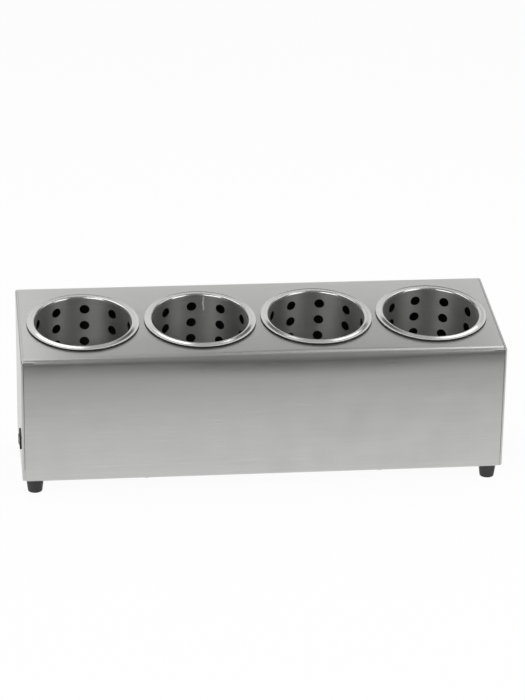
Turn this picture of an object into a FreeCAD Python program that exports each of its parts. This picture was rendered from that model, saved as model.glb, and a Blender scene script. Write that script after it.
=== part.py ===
"""A four-cylinder cutlery dispenser with a sloping stainless case and a small heater.

Millimetres and degrees. X runs along the case, Y from the user to the back, Z up. The origin is on the
surface that the feet stand on, under the middle of the case. One STEP file is written per sub-part.
"""

import FreeCAD, Part

import math
import os

Vector = FreeCAD.Vector
X_AXIS = Vector(1, 0, 0)
Y_AXIS = Vector(0, 1, 0)
Z_AXIS = Vector(0, 0, 1)

# ---------------------------------------------------------------- driving dimensions
# Case
CASE_DEPTH = 144.0
END_MARGIN = 8.5  # from the outer cylinders' rims to the case's ends
FRONT_HEIGHT = 125.0  # lower edge of the case to the sharp front top edge
TOP_TILT = 10.0  # slope of the top, down towards the user
WRAP_SHEET = 1.0
FRONT_BEND = 5.0  # inside radius of the front upper fold
REAR_BEND = 5.0  # inside radius of the rear upper fold
LOWER_BEND = 1.0  # inside radius of the two lower folds
RETURN_FLANGE = 22.0  # lower flanges of the wrap, turned in
FIT_GAP = 0.1  # between sheet parts that lie inside each other
JOINT_GAP = 0.4  # open joint between the wrap's ends and the end panels' rims

# End panels
END_SHEET = 1.0
END_BEND = 2.0  # rounding of the end panel's outer edge
END_RIM = 2.3  # how much of each end belongs to the end panel
END_CORNER = 2.5  # the end panel's upper corners, sharper than the wrap's folds
END_FLANGE = 10.0
END_FLOOR_FLANGE = 18.0
END_RELIEF = 4.5  # radius of the relief in each flange corner

# Cylinders
CYLINDER_COUNT = 4
TUBE_DIAMETER = 97.0
TUBE_SHEET = 0.8
TUBE_DEPTH = 112.0  # below the top of the case
CUTOUT_CLEARANCE = 0.75  # round the tube, in the wrap's cut-out
RIM_REACH = 7.25  # rim beyond the tube's wall
RIM_SPACING = 5.0  # between two rims
RIM_RISE = 2.6  # lip above the case
RIM_EDGE_RISE = 2.1  # outer edge above the case
RIM_LIP_BEND = 1.8
RIM_EDGE_BEND = 0.0
SEAT_GAP = 0.15  # below the rim's turned edge
CHORD_RADIUS = 1.3  # a turned arc has one chord for each such length of its radius
CYLINDER_TURNS = (-5.3, 4.7, -12.2, 9.0)  # each cylinder is dropped in at its own turn

# Perforation of the cylinders
HOLE_DIAMETER = 10.0
HOLE_SIDES = 8  # each hole is a prism of this many sides, to keep the mesh light
HOLE_COLUMNS = 10
HOLE_ROWS = 5
HOLE_FIRST = 11.5  # first row, below the top of the case
HOLE_PITCH = 18.5
FLOOR_SHEET = 1.0
FLOOR_RISE = 4.0  # top of the floor above the tube's lower edge
FLOOR_HOLES = 6
FLOOR_HOLE_CIRCLE = 54.0

# Feet and base
FOOT_HEIGHT = 14.0
FOOT_TOP_DIAMETER = 17.5
FOOT_LOWER_DIAMETER = 14.0
FOOT_INSET = 12.5  # from the case's sides to the foot's axis
FOOT_EDGE = 1.0
FOOT_RECESS_DIAMETER = 9.0
FOOT_RECESS_DEPTH = 7.0
BASE_SHEET = 1.0
BASE_INSET = 3.0
BASE_CORNER = 4.0
VENT_LENGTH = 40.0
VENT_WIDTH = 4.0
VENT_PITCH = 12.0
VENT_ROWS = 5

# Machine screws, M4 throughout the case
SCREW_DIAMETER = 3.9
SCREW_HOLE = 4.4
SCREW_HEAD_DIAMETER = 7.8
SCREW_HEAD_HEIGHT = 2.8
NUT_ACROSS_FLATS = 7.0
NUT_HEIGHT = 3.2
NUT_BORE = 4.1
SCREW_STICK_OUT = 1.0  # screw end beyond its nut
SCREW_GAP = 0.05  # between a head or a nut and its seat

# Heater
TRAY_FROM_LEFT = 65.0  # from the case's left end, and below from its right end
TRAY_FROM_RIGHT = 41.0
TRAY_SIDE_GAP = 4.0  # between the tray's flanges and the wrap's lower flanges
TRAY_FLANGE = 8.0
TRAY_RISE = 4.0
TRAY_SHEET = 0.8
TRAY_BEND = 0.6
ELEMENT_DIAMETER = 6.5
ELEMENT_SPACING = 32.0
ELEMENT_HEIGHT = 8.5  # element's axis above the tray's floor
ELEMENT_FROM_TRAY_LEFT = 16.0  # the sheath's two ends, inside the tray's left edge
ELEMENT_FROM_TRAY_RIGHT = 14.0  # its bend, inside the tray's right edge
ELEMENT_PIN_DIAMETER = 3.0
ELEMENT_PIN_LENGTH = 14.0
BRACKET_SHEET = 1.0
BRACKET_WIDTH = 48.0
BRACKET_FOOT = 11.0
BRACKET_RISE = 14.0
BRACKET_HOLE_GAP = 0.2
RIVET_DIAMETER = 3.2
RIVET_HEAD_DIAMETER = 6.0
RIVET_HEAD_HEIGHT = 1.0
THERMOSTAT_FROM_BRACKET = 17.5  # its middle, left of the first bracket
THERMOSTAT_DIAMETER = 16.0
THERMOSTAT_HEIGHT = 9.5
THERMOSTAT_EARS = 30.0
THERMOSTAT_EAR_WIDTH = 7.0
THERMOSTAT_EAR_SHEET = 0.6
BLADE_THICKNESS = 0.8
BLOCK_FROM_END = 34.0  # from the case's left end
BLOCK_Y = -19.0
BLOCK_LENGTH = 18.0
BLOCK_WIDTH = 24.0
BLOCK_HEIGHT = 16.0
BLOCK_BORE = 5.2
BLOCK_WAY_PITCH = 13.0

# Rocker switch in the left end panel
SWITCH_FROM_FRONT = 24.0
SWITCH_ABOVE_CASE = 36.0
BEZEL_LENGTH = 21.0
BEZEL_WIDTH = 15.0
BEZEL_HEIGHT = 1.8
BEZEL_CORNER = 1.5
SWITCH_BODY_LENGTH = 19.0
SWITCH_BODY_WIDTH = 12.8
SWITCH_BODY_DEPTH = 16.0
SWITCH_CUTOUT_GAP = 0.1
ROCKER_WIDTH = 9.2
ROCKER_GAP = 0.3  # round the rocker, inside its well
ROCKER_RADIUS = 8.3  # ends of the rocker, about its pivot
ROCKER_RIDGE = 4.0  # ridge above the pivot
ROCKER_SHOULDER = 1.6  # ends of the roof above the pivot
ROCKER_KEEL = 3.2  # underside below the pivot
ROCKER_TILT = 8.0  # each way from the middle
PIVOT_BELOW_PANEL = 1.0
PIVOT_DIAMETER = 2.4
PIVOT_LENGTH = 1.2
PIVOT_GAP = 0.1
WELL_DEPTH = 6.6
SWITCH_BLADE_WIDTH = 4.8
SWITCH_BLADE_LENGTH = 8.0
SWITCH_BLADE_PITCH = 8.0

# Appliance inlet in the back panel
INLET_FROM_END = 49.0  # from the case's left end
INLET_ABOVE_CASE = 18.5
INLET_FLANGE_LENGTH = 50.0
INLET_FLANGE_WIDTH = 24.0
INLET_FLANGE_HEIGHT = 3.0
INLET_BODY_LENGTH = 27.4
INLET_BODY_WIDTH = 20.0
INLET_BODY_DEPTH = 16.0
INLET_CUTOUT_GAP = 0.2
INLET_WELL_LENGTH = 24.4
INLET_WELL_WIDTH = 16.8
INLET_WELL_CHAMFER = 4.0
INLET_WELL_DEPTH = 15.0
INLET_PIN_PITCH = 7.0
INLET_PIN_OFFSET = 2.0
INLET_PIN_WIDTH = 4.0
INLET_PIN_THICKNESS = 2.0
INLET_PIN_REACH = 11.0
INLET_TAB_LENGTH = 8.0
INLET_SCREW_PITCH = 40.0
INLET_SCREW_DIAMETER = 2.9
INLET_SCREW_HOLE = 3.3
INLET_SCREW_HEAD = 5.6
INLET_NUT_ACROSS_FLATS = 5.5
INLET_NUT_HEIGHT = 2.4

# Earth stud on the base plate
EARTH_FROM_END = 27.0  # from the case's left end
EARTH_Y = 18.0
EARTH_LENGTH = 11.0
WASHER_DIAMETER = 9.0
WASHER_HEIGHT = 0.8

# ---------------------------------------------------------------- places that follow
TILT = math.radians(TOP_TILT)
CASE_BOTTOM = FOOT_HEIGHT + BASE_SHEET
FRONT_TOP = CASE_BOTTOM + FRONT_HEIGHT
BACK_TOP = FRONT_TOP + CASE_DEPTH * math.tan(TILT)
SEAT_Z = FRONT_TOP + CASE_DEPTH / 2 * math.tan(TILT)  # top of the case over the origin
RIM_DIAMETER = TUBE_DIAMETER + 2 * RIM_REACH
CYLINDER_PITCH = RIM_DIAMETER + RIM_SPACING
CASE_WIDTH = (CYLINDER_COUNT - 1) * CYLINDER_PITCH + RIM_DIAMETER + 2 * END_MARGIN
HALF_WIDTH = CASE_WIDTH / 2
HALF_DEPTH = CASE_DEPTH / 2
TUBE_OUTER = TUBE_DIAMETER / 2
TUBE_INNER = TUBE_OUTER - TUBE_SHEET
TRAY_LEFT = TRAY_FROM_LEFT - HALF_WIDTH
TRAY_RIGHT = HALF_WIDTH - TRAY_FROM_RIGHT
TRAY_FLOOR_WIDTH = CASE_DEPTH - 2 * (RETURN_FLANGE + TRAY_SIDE_GAP + TRAY_FLANGE)
TRAY_FLOOR_Z = CASE_BOTTOM + TRAY_RISE + TRAY_SHEET
ELEMENT_LEFT = TRAY_LEFT + ELEMENT_FROM_TRAY_LEFT
ELEMENT_RIGHT = TRAY_RIGHT - ELEMENT_FROM_TRAY_RIGHT
ELEMENT_Z = TRAY_FLOOR_Z + ELEMENT_HEIGHT
SWITCH_Y = SWITCH_FROM_FRONT - HALF_DEPTH
SWITCH_Z = CASE_BOTTOM + SWITCH_ABOVE_CASE
INLET_X = INLET_FROM_END - HALF_WIDTH
INLET_Z = CASE_BOTTOM + INLET_ABOVE_CASE
BLOCK_X = BLOCK_FROM_END - HALF_WIDTH
EARTH_X = EARTH_FROM_END - HALF_WIDTH
CYLINDER_XS = [(i - (CYLINDER_COUNT - 1) / 2) * CYLINDER_PITCH for i in range(CYLINDER_COUNT)]
BRACKET_XS = [(a + b) / 2 for a, b in zip(CYLINDER_XS, CYLINDER_XS[1:])]
THERMOSTAT_X = BRACKET_XS[0] - THERMOSTAT_FROM_BRACKET
FOOT_PLACES = {
    "front_left": (-HALF_WIDTH + FOOT_INSET, -HALF_DEPTH + FOOT_INSET),
    "front_right": (HALF_WIDTH - FOOT_INSET, -HALF_DEPTH + FOOT_INSET),
    "rear_left": (-HALF_WIDTH + FOOT_INSET, HALF_DEPTH - FOOT_INSET),
    "rear_right": (HALF_WIDTH - FOOT_INSET, HALF_DEPTH - FOOT_INSET),
}
BASE_SCREW_PLACES = [(x, y) for x in (-CYLINDER_PITCH, CYLINDER_PITCH)
                     for y in (-HALF_DEPTH + FOOT_INSET, HALF_DEPTH - FOOT_INSET)]


# ---------------------------------------------------------------- shapes used by many sub-parts
def in_yz(a, b):
    """Put section coordinates in the YZ plane."""
    return Vector(0, a, b)


def in_xz(a, b):
    """Put section coordinates in the XZ plane."""
    return Vector(a, 0, b)


def in_xy(a, b):
    """Put section coordinates in the XY plane."""
    return Vector(a, b, 0)


def unit(a, b):
    """Direction from point a to point b, as a pair."""
    length = math.hypot(b[0] - a[0], b[1] - a[1])
    return ((b[0] - a[0]) / length, (b[1] - a[1]) / length)


def turn_between(before, corner, after):
    """Signed turn at a corner in radians, positive to the left."""
    first, second = unit(before, corner), unit(corner, after)
    return math.atan2(first[0] * second[1] - first[1] * second[0],
                      first[0] * second[0] + first[1] * second[1])


def chords(centre, start, turn, radius, plane):
    """Straight pieces that follow an arc about centre, more of them on a larger radius."""
    count = max(1, round(radius / CHORD_RADIUS))
    first = math.atan2(start[1] - centre[1], start[0] - centre[0])
    points = [plane(centre[0] + radius * math.cos(first + turn * k / count),
                    centre[1] + radius * math.sin(first + turn * k / count)) for k in range(count + 1)]
    return [Part.makeLine(a, b) for a, b in zip(points, points[1:])]


def rounded_edges(points, radii, plane, closed=False, turned=False):
    """Lines and arcs along a path, with one radius for each of its corners.

    The section of a turned piece has short chords for its arcs, because a torus makes a very heavy mesh.
    """
    count = len(points)
    corners = range(count) if closed else range(1, count - 1)
    starts, ends, arcs = {}, {}, {}
    for i in corners:
        before, corner, after = points[i - 1], points[i], points[(i + 1) % count]
        radius = radii[i]
        starts[i] = ends[i] = corner
        turn = turn_between(before, corner, after)
        if radius <= 0 or abs(turn) < 1e-9:
            continue
        first, second = unit(before, corner), unit(corner, after)
        tangent = radius * math.tan(abs(turn) / 2)
        starts[i] = (corner[0] - first[0] * tangent, corner[1] - first[1] * tangent)
        ends[i] = (corner[0] + second[0] * tangent, corner[1] + second[1] * tangent)
        side = math.copysign(1, turn)
        centre = (starts[i][0] - first[1] * side * radius, starts[i][1] + first[0] * side * radius)
        if turned:
            arcs[i] = chords(centre, starts[i], turn, radius, plane)
            continue
        outward = unit(centre, corner)
        middle = (centre[0] + outward[0] * radius, centre[1] + outward[1] * radius)
        arcs[i] = [Part.Arc(plane(*starts[i]), plane(*middle), plane(*ends[i])).toShape()]
    edges = []
    for i in range(count if closed else count - 1):
        j = (i + 1) % count
        line_start = ends.get(i, points[i])
        line_end = starts.get(j, points[j])
        if math.dist(line_start, line_end) > 1e-6:
            edges.append(Part.makeLine(plane(*line_start), plane(*line_end)))
        edges += arcs.get(j, [])
    return edges


def rounded_face(points, radii, plane, turned=False):
    """Flat face inside a closed path with rounded corners."""
    return Part.Face(Part.Wire(Part.__sortEdges__(rounded_edges(points, radii, plane, True, turned))))


def offset_points(points, distance):
    """Shift an open path sideways, to its left where distance is positive."""
    shifted = []
    for i, point in enumerate(points):
        before = unit(points[i - 1], point) if i else unit(point, points[1])
        after = unit(point, points[i + 1]) if i < len(points) - 1 else before
        normals = (-before[1] - after[1], before[0] + after[0])
        scale = distance / (1 + before[0] * after[0] + before[1] * after[1])
        shifted.append((point[0] + normals[0] * scale, point[1] + normals[1] * scale))
    return shifted


def folded_section(points, bends, thickness, plane, turned=False):
    """Section of a folded sheet: one face runs through points, the other lies to their left.

    A negative thickness puts the sheet to the right. bends holds the inside radius of each corner.
    """
    side = math.copysign(1, thickness)
    face_radii, far_radii = [0.0] * len(points), [0.0] * len(points)
    for i in range(1, len(points) - 1):
        inside = bends[i - 1]
        towards_sheet = turn_between(points[i - 1], points[i], points[i + 1]) * side > 0
        face_radii[i] = inside + abs(thickness) if towards_sheet else inside
        far_radii[i] = inside if towards_sheet else inside + abs(thickness)
    far_points = offset_points(points, thickness)
    edges = rounded_edges(points, face_radii, plane, turned=turned)
    edges += rounded_edges(far_points, far_radii, plane, turned=turned)
    edges.append(Part.makeLine(plane(*points[0]), plane(*far_points[0])))
    edges.append(Part.makeLine(plane(*points[-1]), plane(*far_points[-1])))
    return Part.Face(Part.Wire(Part.__sortEdges__(edges)))


def block(x_range, y_range, z_range):
    """Box between three pairs of limits."""
    size = [high - low for low, high in (x_range, y_range, z_range)]
    return Part.makeBox(*size, Vector(x_range[0], y_range[0], z_range[0]))


def rod(diameter, length, start, direction=Z_AXIS):
    """Round bar from a start point along a direction."""
    return Part.makeCylinder(diameter / 2, length, start, direction)


def rounded_slab(length, width, height, corner, plane, normal):
    """Slab with rounded corners, centred on its plane's origin and raised along normal."""
    a, b = length / 2, width / 2
    face = rounded_face([(-a, -b), (a, -b), (a, b), (-a, b)], [corner] * 4, plane)
    return face.extrude(normal * height)


def hexagon_nut(across_flats, height, bore, place):
    """Hexagon nut standing on its place, with a clear bore."""
    radius = across_flats / math.sqrt(3)
    corners = [Vector(radius * math.cos(math.radians(60 * k)), radius * math.sin(math.radians(60 * k)), 0)
               for k in range(6)]
    body = Part.Face(Part.makePolygon(corners + corners[:1])).extrude(Z_AXIS * height)
    nut = body.cut(rod(bore, height, Vector(0, 0, 0)))
    nut.translate(place)
    return nut


def turned_piece(outline, place=Vector(0, 0, 0), direction=Z_AXIS):
    """Turn a closed outline, given as radius and height, about its place and direction."""
    face = Part.Face(Part.makePolygon([in_xz(*point) for point in outline + outline[:1]]))
    solid = face.revolve(Vector(0, 0, 0), Z_AXIS, 360)
    solid.Placement = FreeCAD.Placement(place, FreeCAD.Rotation(Z_AXIS, direction))
    return solid


def cheese_head_screw(length, place, direction=Z_AXIS):
    """Case screw whose head lies behind its place and whose shank runs along direction."""
    head, shank = SCREW_HEAD_DIAMETER / 2, SCREW_DIAMETER / 2
    return turned_piece([(0, -SCREW_HEAD_HEIGHT), (head, -SCREW_HEAD_HEIGHT), (head, 0), (shank, 0),
                         (shank, length), (0, length)], place, direction)


def rivet(place, grip):
    """Rivet up through a grip, with a flat head on each side of it."""
    head, shank = RIVET_HEAD_DIAMETER / 2, RIVET_DIAMETER / 2
    low, high = -SCREW_GAP, grip + SCREW_GAP
    return turned_piece([(0, low - RIVET_HEAD_HEIGHT), (head, low - RIVET_HEAD_HEIGHT), (head, low),
                         (shank, low), (shank, high), (head, high), (head, high + RIVET_HEAD_HEIGHT),
                         (0, high + RIVET_HEAD_HEIGHT)], place)


# ---------------------------------------------------------------- case
def case_outline(inset, rear_corner, front_corner, x):
    """Face of the case's side outline at x, drawn in by inset, with its upper corners rounded."""
    rise = inset / math.cos(TILT)
    slope = math.tan(TILT)
    points = [(-HALF_DEPTH + inset, CASE_BOTTOM + inset), (HALF_DEPTH - inset, CASE_BOTTOM + inset),
              (HALF_DEPTH - inset, BACK_TOP - rise - inset * slope),
              (-HALF_DEPTH + inset, FRONT_TOP - rise + inset * slope)]
    lower = max(LOWER_BEND + WRAP_SHEET - inset, 0.2)
    rear, front = max(rear_corner - inset, 0.2), max(front_corner - inset, 0.2)
    face = rounded_face(points, [lower, lower, rear, front], in_yz)
    face.translate(Vector(x, 0, 0))
    return face


def casing_wrap():
    """Front, sloping top and back, folded from one sheet, with the lower flanges turned in."""
    half_length = HALF_WIDTH - END_RIM - JOINT_GAP
    points = [(-HALF_DEPTH + RETURN_FLANGE, CASE_BOTTOM), (-HALF_DEPTH, CASE_BOTTOM),
              (-HALF_DEPTH, FRONT_TOP), (HALF_DEPTH, BACK_TOP), (HALF_DEPTH, CASE_BOTTOM),
              (HALF_DEPTH - RETURN_FLANGE, CASE_BOTTOM)]
    section = folded_section(points, [LOWER_BEND, FRONT_BEND, REAR_BEND, LOWER_BEND], -WRAP_SHEET, in_yz)
    section.translate(Vector(-half_length, 0, 0))
    wrap = section.extrude(X_AXIS * (2 * half_length))
    cutters = [on_seat(rod(TUBE_DIAMETER + 2 * CUTOUT_CLEARANCE, 20, Vector(0, 0, -10)), i)
               for i in range(CYLINDER_COUNT)]
    cutters += [rod(SCREW_HOLE, 10, Vector(x, y, CASE_BOTTOM - 5))
                for x, y in list(FOOT_PLACES.values()) + BASE_SCREW_PLACES]
    gap = INLET_CUTOUT_GAP
    cutters.append(block((INLET_X - INLET_BODY_LENGTH / 2 - gap, INLET_X + INLET_BODY_LENGTH / 2 + gap),
                         (HALF_DEPTH - 5, HALF_DEPTH + 5),
                         (INLET_Z - INLET_BODY_WIDTH / 2 - gap, INLET_Z + INLET_BODY_WIDTH / 2 + gap)))
    cutters += [rod(INLET_SCREW_HOLE, 10, Vector(x, HALF_DEPTH - 5, INLET_Z), Y_AXIS)
                for x in inlet_screw_xs()]
    return wrap.cut(cutters)


def end_panel(side):
    """Folded pan that closes one end; side is -1 for the left end and 1 for the right."""
    rim = case_outline(0, END_CORNER, END_CORNER, HALF_WIDTH - END_RIM).extrude(X_AXIS * END_RIM)
    outer_edges = [edge for edge in rim.Edges
                   if all(abs(vertex.X - HALF_WIDTH) < 1e-6 for vertex in edge.Vertexes)]
    rim = rim.makeFillet(END_BEND, outer_edges)
    nested = WRAP_SHEET + FIT_GAP
    corners = WRAP_SHEET + REAR_BEND, WRAP_SHEET + FRONT_BEND
    flange_start = HALF_WIDTH - END_RIM - END_FLANGE
    panel = rim.fuse(case_outline(nested, *corners, flange_start).extrude(X_AXIS * (END_FLANGE + 0.5)))
    cavity = case_outline(nested + END_SHEET, *corners, flange_start - 1)
    cavity = cavity.extrude(X_AXIS * (HALF_WIDTH - END_SHEET - flange_start + 1))
    floor_edges = [edge for edge in cavity.Edges
                   if all(abs(vertex.X - HALF_WIDTH + END_SHEET) < 1e-6 for vertex in edge.Vertexes)]
    panel = panel.cut(cavity.makeFillet(END_SHEET, floor_edges))
    floor_width = HALF_DEPTH - nested - END_RELIEF
    floor_flange = block((HALF_WIDTH - END_RIM - END_FLOOR_FLANGE, flange_start + 1),
                         (-floor_width, floor_width),
                         (CASE_BOTTOM + nested, CASE_BOTTOM + nested + END_SHEET))
    panel = panel.fuse(floor_flange).removeSplitter()
    cutters = []
    for y in (-HALF_DEPTH + nested, HALF_DEPTH - nested):
        top = FRONT_TOP if y < 0 else BACK_TOP
        for z in (CASE_BOTTOM + nested, top - nested):
            cutters.append(rod(2 * END_RELIEF, END_FLANGE, Vector(flange_start - 1, y, z), X_AXIS))
    cutters += [rod(SCREW_HOLE, 10, Vector(x, y, CASE_BOTTOM - 5))
                for x, y in FOOT_PLACES.values() if x > 0]
    panel = panel.cut(cutters)
    if side > 0:
        return panel
    panel = panel.mirror(Vector(0, 0, 0), X_AXIS)
    return panel.cut(switch_cutout())


def base_plate():
    """Flat closing plate under the case, with vent slots below each cylinder."""
    plate = rounded_slab(CASE_WIDTH - 2 * BASE_INSET, CASE_DEPTH - 2 * BASE_INSET, BASE_SHEET, BASE_CORNER,
                         in_xy, Z_AXIS)
    plate.translate(Vector(0, 0, FOOT_HEIGHT))
    cutters = []
    for x in CYLINDER_XS:
        for row in range(VENT_ROWS):
            y = (row - (VENT_ROWS - 1) / 2) * VENT_PITCH
            cutters.append(block((x - VENT_LENGTH / 2, x + VENT_LENGTH / 2),
                                 (y - VENT_WIDTH / 2, y + VENT_WIDTH / 2), (FOOT_HEIGHT - 5, CASE_BOTTOM + 5)))
    places = list(FOOT_PLACES.values()) + BASE_SCREW_PLACES + [(EARTH_X, EARTH_Y), (BLOCK_X, BLOCK_Y)]
    cutters += [rod(SCREW_HOLE, 10, Vector(x, y, FOOT_HEIGHT - 5)) for x, y in places]
    return plate.cut(cutters)


def foot(name):
    """Tapered rubber foot with a recess for its screw's head."""
    top, lower = FOOT_TOP_DIAMETER / 2, FOOT_LOWER_DIAMETER / 2
    recess, bore = FOOT_RECESS_DIAMETER / 2, SCREW_HOLE / 2
    points = [(recess, 0), (lower, 0), (top, FOOT_HEIGHT), (bore, FOOT_HEIGHT),
              (bore, FOOT_RECESS_DEPTH), (recess, FOOT_RECESS_DEPTH)]
    face = rounded_face(points, [0, FOOT_EDGE, 0, 0, 0, 0], in_xz, turned=True)
    solid = face.revolve(Vector(0, 0, 0), Z_AXIS, 360)
    x, y = FOOT_PLACES[name]
    solid.translate(Vector(x, y, 0))
    return solid


def foot_nut_z():
    """Height of the nuts' seats: on the end panels' lower flanges."""
    return CASE_BOTTOM + WRAP_SHEET + FIT_GAP + END_SHEET + SCREW_GAP


def foot_screws():
    """The screw through each foot."""
    start = FOOT_RECESS_DEPTH - SCREW_GAP
    length = foot_nut_z() + NUT_HEIGHT + SCREW_STICK_OUT - start
    return Part.makeCompound([cheese_head_screw(length, Vector(x, y, start)) for x, y in FOOT_PLACES.values()])


def foot_nuts():
    """The nut on each foot's screw."""
    return Part.makeCompound([hexagon_nut(NUT_ACROSS_FLATS, NUT_HEIGHT, NUT_BORE, Vector(x, y, foot_nut_z()))
                              for x, y in FOOT_PLACES.values()])


def base_screws():
    """Screws that hold the base plate between the feet."""
    start = FOOT_HEIGHT - SCREW_GAP
    length = CASE_BOTTOM + WRAP_SHEET + SCREW_GAP + NUT_HEIGHT + SCREW_STICK_OUT - start
    return Part.makeCompound([cheese_head_screw(length, Vector(x, y, start)) for x, y in BASE_SCREW_PLACES])


def base_nuts():
    """Nuts of the base plate's screws, on the wrap's lower flanges."""
    seat = CASE_BOTTOM + WRAP_SHEET + SCREW_GAP
    return Part.makeCompound([hexagon_nut(NUT_ACROSS_FLATS, NUT_HEIGHT, NUT_BORE, Vector(x, y, seat))
                              for x, y in BASE_SCREW_PLACES])


# ---------------------------------------------------------------- lift-out cylinders
def on_seat(shape, index):
    """Stand a shape drawn about Z on the sloping top, over cut-out number index."""
    placed = shape.copy()
    placed.Placement = FreeCAD.Placement(Vector(CYLINDER_XS[index], 0, SEAT_Z),
                                         FreeCAD.Rotation(X_AXIS, TOP_TILT)).multiply(placed.Placement)
    return placed


def punch(length, start, direction):
    """Prism that punches one hole, along a direction."""
    radius = HOLE_DIAMETER / 2 / math.cos(math.pi / HOLE_SIDES) ** 0.5
    corners = [Vector(radius * math.cos(2 * math.pi * (k + 0.5) / HOLE_SIDES),
                      radius * math.sin(2 * math.pi * (k + 0.5) / HOLE_SIDES), 0) for k in range(HOLE_SIDES)]
    prism = Part.Face(Part.makePolygon(corners + corners[:1])).extrude(Z_AXIS * length)
    prism.Placement = FreeCAD.Placement(start, FreeCAD.Rotation(Z_AXIS, direction))
    return prism


def cylinder_tube(index):
    """Perforated tube with its rolled rim, in one sheet."""
    rim = RIM_DIAMETER / 2
    points = [(TUBE_INNER, -TUBE_DEPTH), (TUBE_INNER, RIM_RISE), (rim, RIM_EDGE_RISE), (rim, SEAT_GAP)]
    section = folded_section(points, [RIM_LIP_BEND, RIM_EDGE_BEND], -TUBE_SHEET, in_xz, turned=True)
    tube = section.revolve(Vector(0, 0, 0), Z_AXIS, 360)
    punches = []
    for row in range(HOLE_ROWS):
        for column in range(HOLE_COLUMNS):
            angle = math.radians(90 + CYLINDER_TURNS[index] + 360 / HOLE_COLUMNS * column)
            outward = Vector(math.cos(angle), math.sin(angle), 0)
            start = outward * (TUBE_INNER - 5) + Vector(0, 0, -HOLE_FIRST - HOLE_PITCH * row)
            punches.append(punch(10, start, outward))
    return on_seat(tube.cut(punches), index)


def cylinder_floor(index):
    """Floor disc, welded inside the tube's lower end, with drain holes."""
    top = -TUBE_DEPTH + FLOOR_RISE
    disc = rod(2 * (TUBE_INNER - FIT_GAP), FLOOR_SHEET, Vector(0, 0, top - FLOOR_SHEET))
    punches = [punch(10, Vector(0, 0, top - 5), Z_AXIS)]
    for k in range(FLOOR_HOLES):
        angle = math.radians(90 + CYLINDER_TURNS[index] + 360 / FLOOR_HOLES * k)
        centre = Vector(math.cos(angle), math.sin(angle), 0) * (FLOOR_HOLE_CIRCLE / 2)
        punches.append(punch(10, centre + Vector(0, 0, top - 5), Z_AXIS))
    return on_seat(disc.cut(punches), index)


# ---------------------------------------------------------------- heater
def reflector_tray():
    """Hat-shaped tray that carries the element clear of the base plate, spot-welded to it."""
    inner, outer = TRAY_FLOOR_WIDTH / 2, TRAY_FLOOR_WIDTH / 2 + TRAY_FLANGE
    low, high = CASE_BOTTOM, CASE_BOTTOM + TRAY_RISE
    points = [(-outer, low), (-inner, low), (-inner, high), (inner, high), (inner, low), (outer, low)]
    section = folded_section(points, [TRAY_BEND] * 4, TRAY_SHEET, in_yz)
    section.translate(Vector(TRAY_LEFT, 0, 0))
    tray = section.extrude(X_AXIS * (TRAY_RIGHT - TRAY_LEFT))
    return tray.cut([rod(RIVET_DIAMETER + 2 * SCREW_GAP, 20, Vector(x, y, CASE_BOTTOM - 5))
                     for x, y in thermostat_rivet_places()])


def heating_element():
    """Sheathed hairpin element."""
    half = ELEMENT_SPACING / 2
    bend_x = ELEMENT_RIGHT - half - ELEMENT_DIAMETER / 2
    path = Part.Wire([
        Part.makeLine(Vector(ELEMENT_LEFT, -half, ELEMENT_Z), Vector(bend_x, -half, ELEMENT_Z)),
        Part.Arc(Vector(bend_x, -half, ELEMENT_Z), Vector(bend_x + half, 0, ELEMENT_Z),
                 Vector(bend_x, half, ELEMENT_Z)).toShape(),
        Part.makeLine(Vector(bend_x, half, ELEMENT_Z), Vector(ELEMENT_LEFT, half, ELEMENT_Z)),
    ])
    section = Part.Wire(Part.makeCircle(ELEMENT_DIAMETER / 2, Vector(ELEMENT_LEFT, -half, ELEMENT_Z), X_AXIS))
    return path.makePipeShell([section], True, True)


def element_terminals():
    """Cold pins at the element's two ends."""
    return Part.makeCompound([
        rod(ELEMENT_PIN_DIAMETER, ELEMENT_PIN_LENGTH,
            Vector(ELEMENT_LEFT - ELEMENT_PIN_LENGTH, side * ELEMENT_SPACING / 2, ELEMENT_Z), X_AXIS)
        for side in (-1, 1)])


def element_brackets():
    """Angle brackets, spot-welded to the tray, that hold both legs of the element above it."""
    brackets = []
    for x in BRACKET_XS:
        points = [(x + BRACKET_FOOT, TRAY_FLOOR_Z), (x, TRAY_FLOOR_Z), (x, TRAY_FLOOR_Z + BRACKET_RISE)]
        section = folded_section(points, [BRACKET_SHEET], -BRACKET_SHEET, in_xz)
        section.translate(Vector(0, -BRACKET_WIDTH / 2, 0))
        bracket = section.extrude(Y_AXIS * BRACKET_WIDTH)
        brackets.append(bracket.cut([
            rod(ELEMENT_DIAMETER + 2 * BRACKET_HOLE_GAP, 10,
                Vector(x - 5, side * ELEMENT_SPACING / 2, ELEMENT_Z), X_AXIS) for side in (-1, 1)]))
    return Part.makeCompound(brackets)


def thermostat_rivet_places():
    """Where the thermal cut-out's ears are riveted to the tray."""
    reach = THERMOSTAT_EARS / 2 - THERMOSTAT_EAR_WIDTH / 2
    return [(THERMOSTAT_X - reach, 0), (THERMOSTAT_X + reach, 0)]


def thermal_cutout():
    """Disc thermostat with two mounting ears, lying flat on the tray."""
    floor = Vector(THERMOSTAT_X, 0, TRAY_FLOOR_Z)
    ears = rounded_slab(THERMOSTAT_EARS, THERMOSTAT_EAR_WIDTH, THERMOSTAT_EAR_SHEET,
                        THERMOSTAT_EAR_WIDTH / 2 - 0.01, in_xy, Z_AXIS)
    ears.translate(floor)
    body = rod(THERMOSTAT_DIAMETER, THERMOSTAT_HEIGHT, floor)
    holes = [rod(RIVET_DIAMETER + 2 * SCREW_GAP, 10, Vector(x, y, TRAY_FLOOR_Z - 5))
             for x, y in thermostat_rivet_places()]
    return body.fuse(ears).cut(holes)


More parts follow.
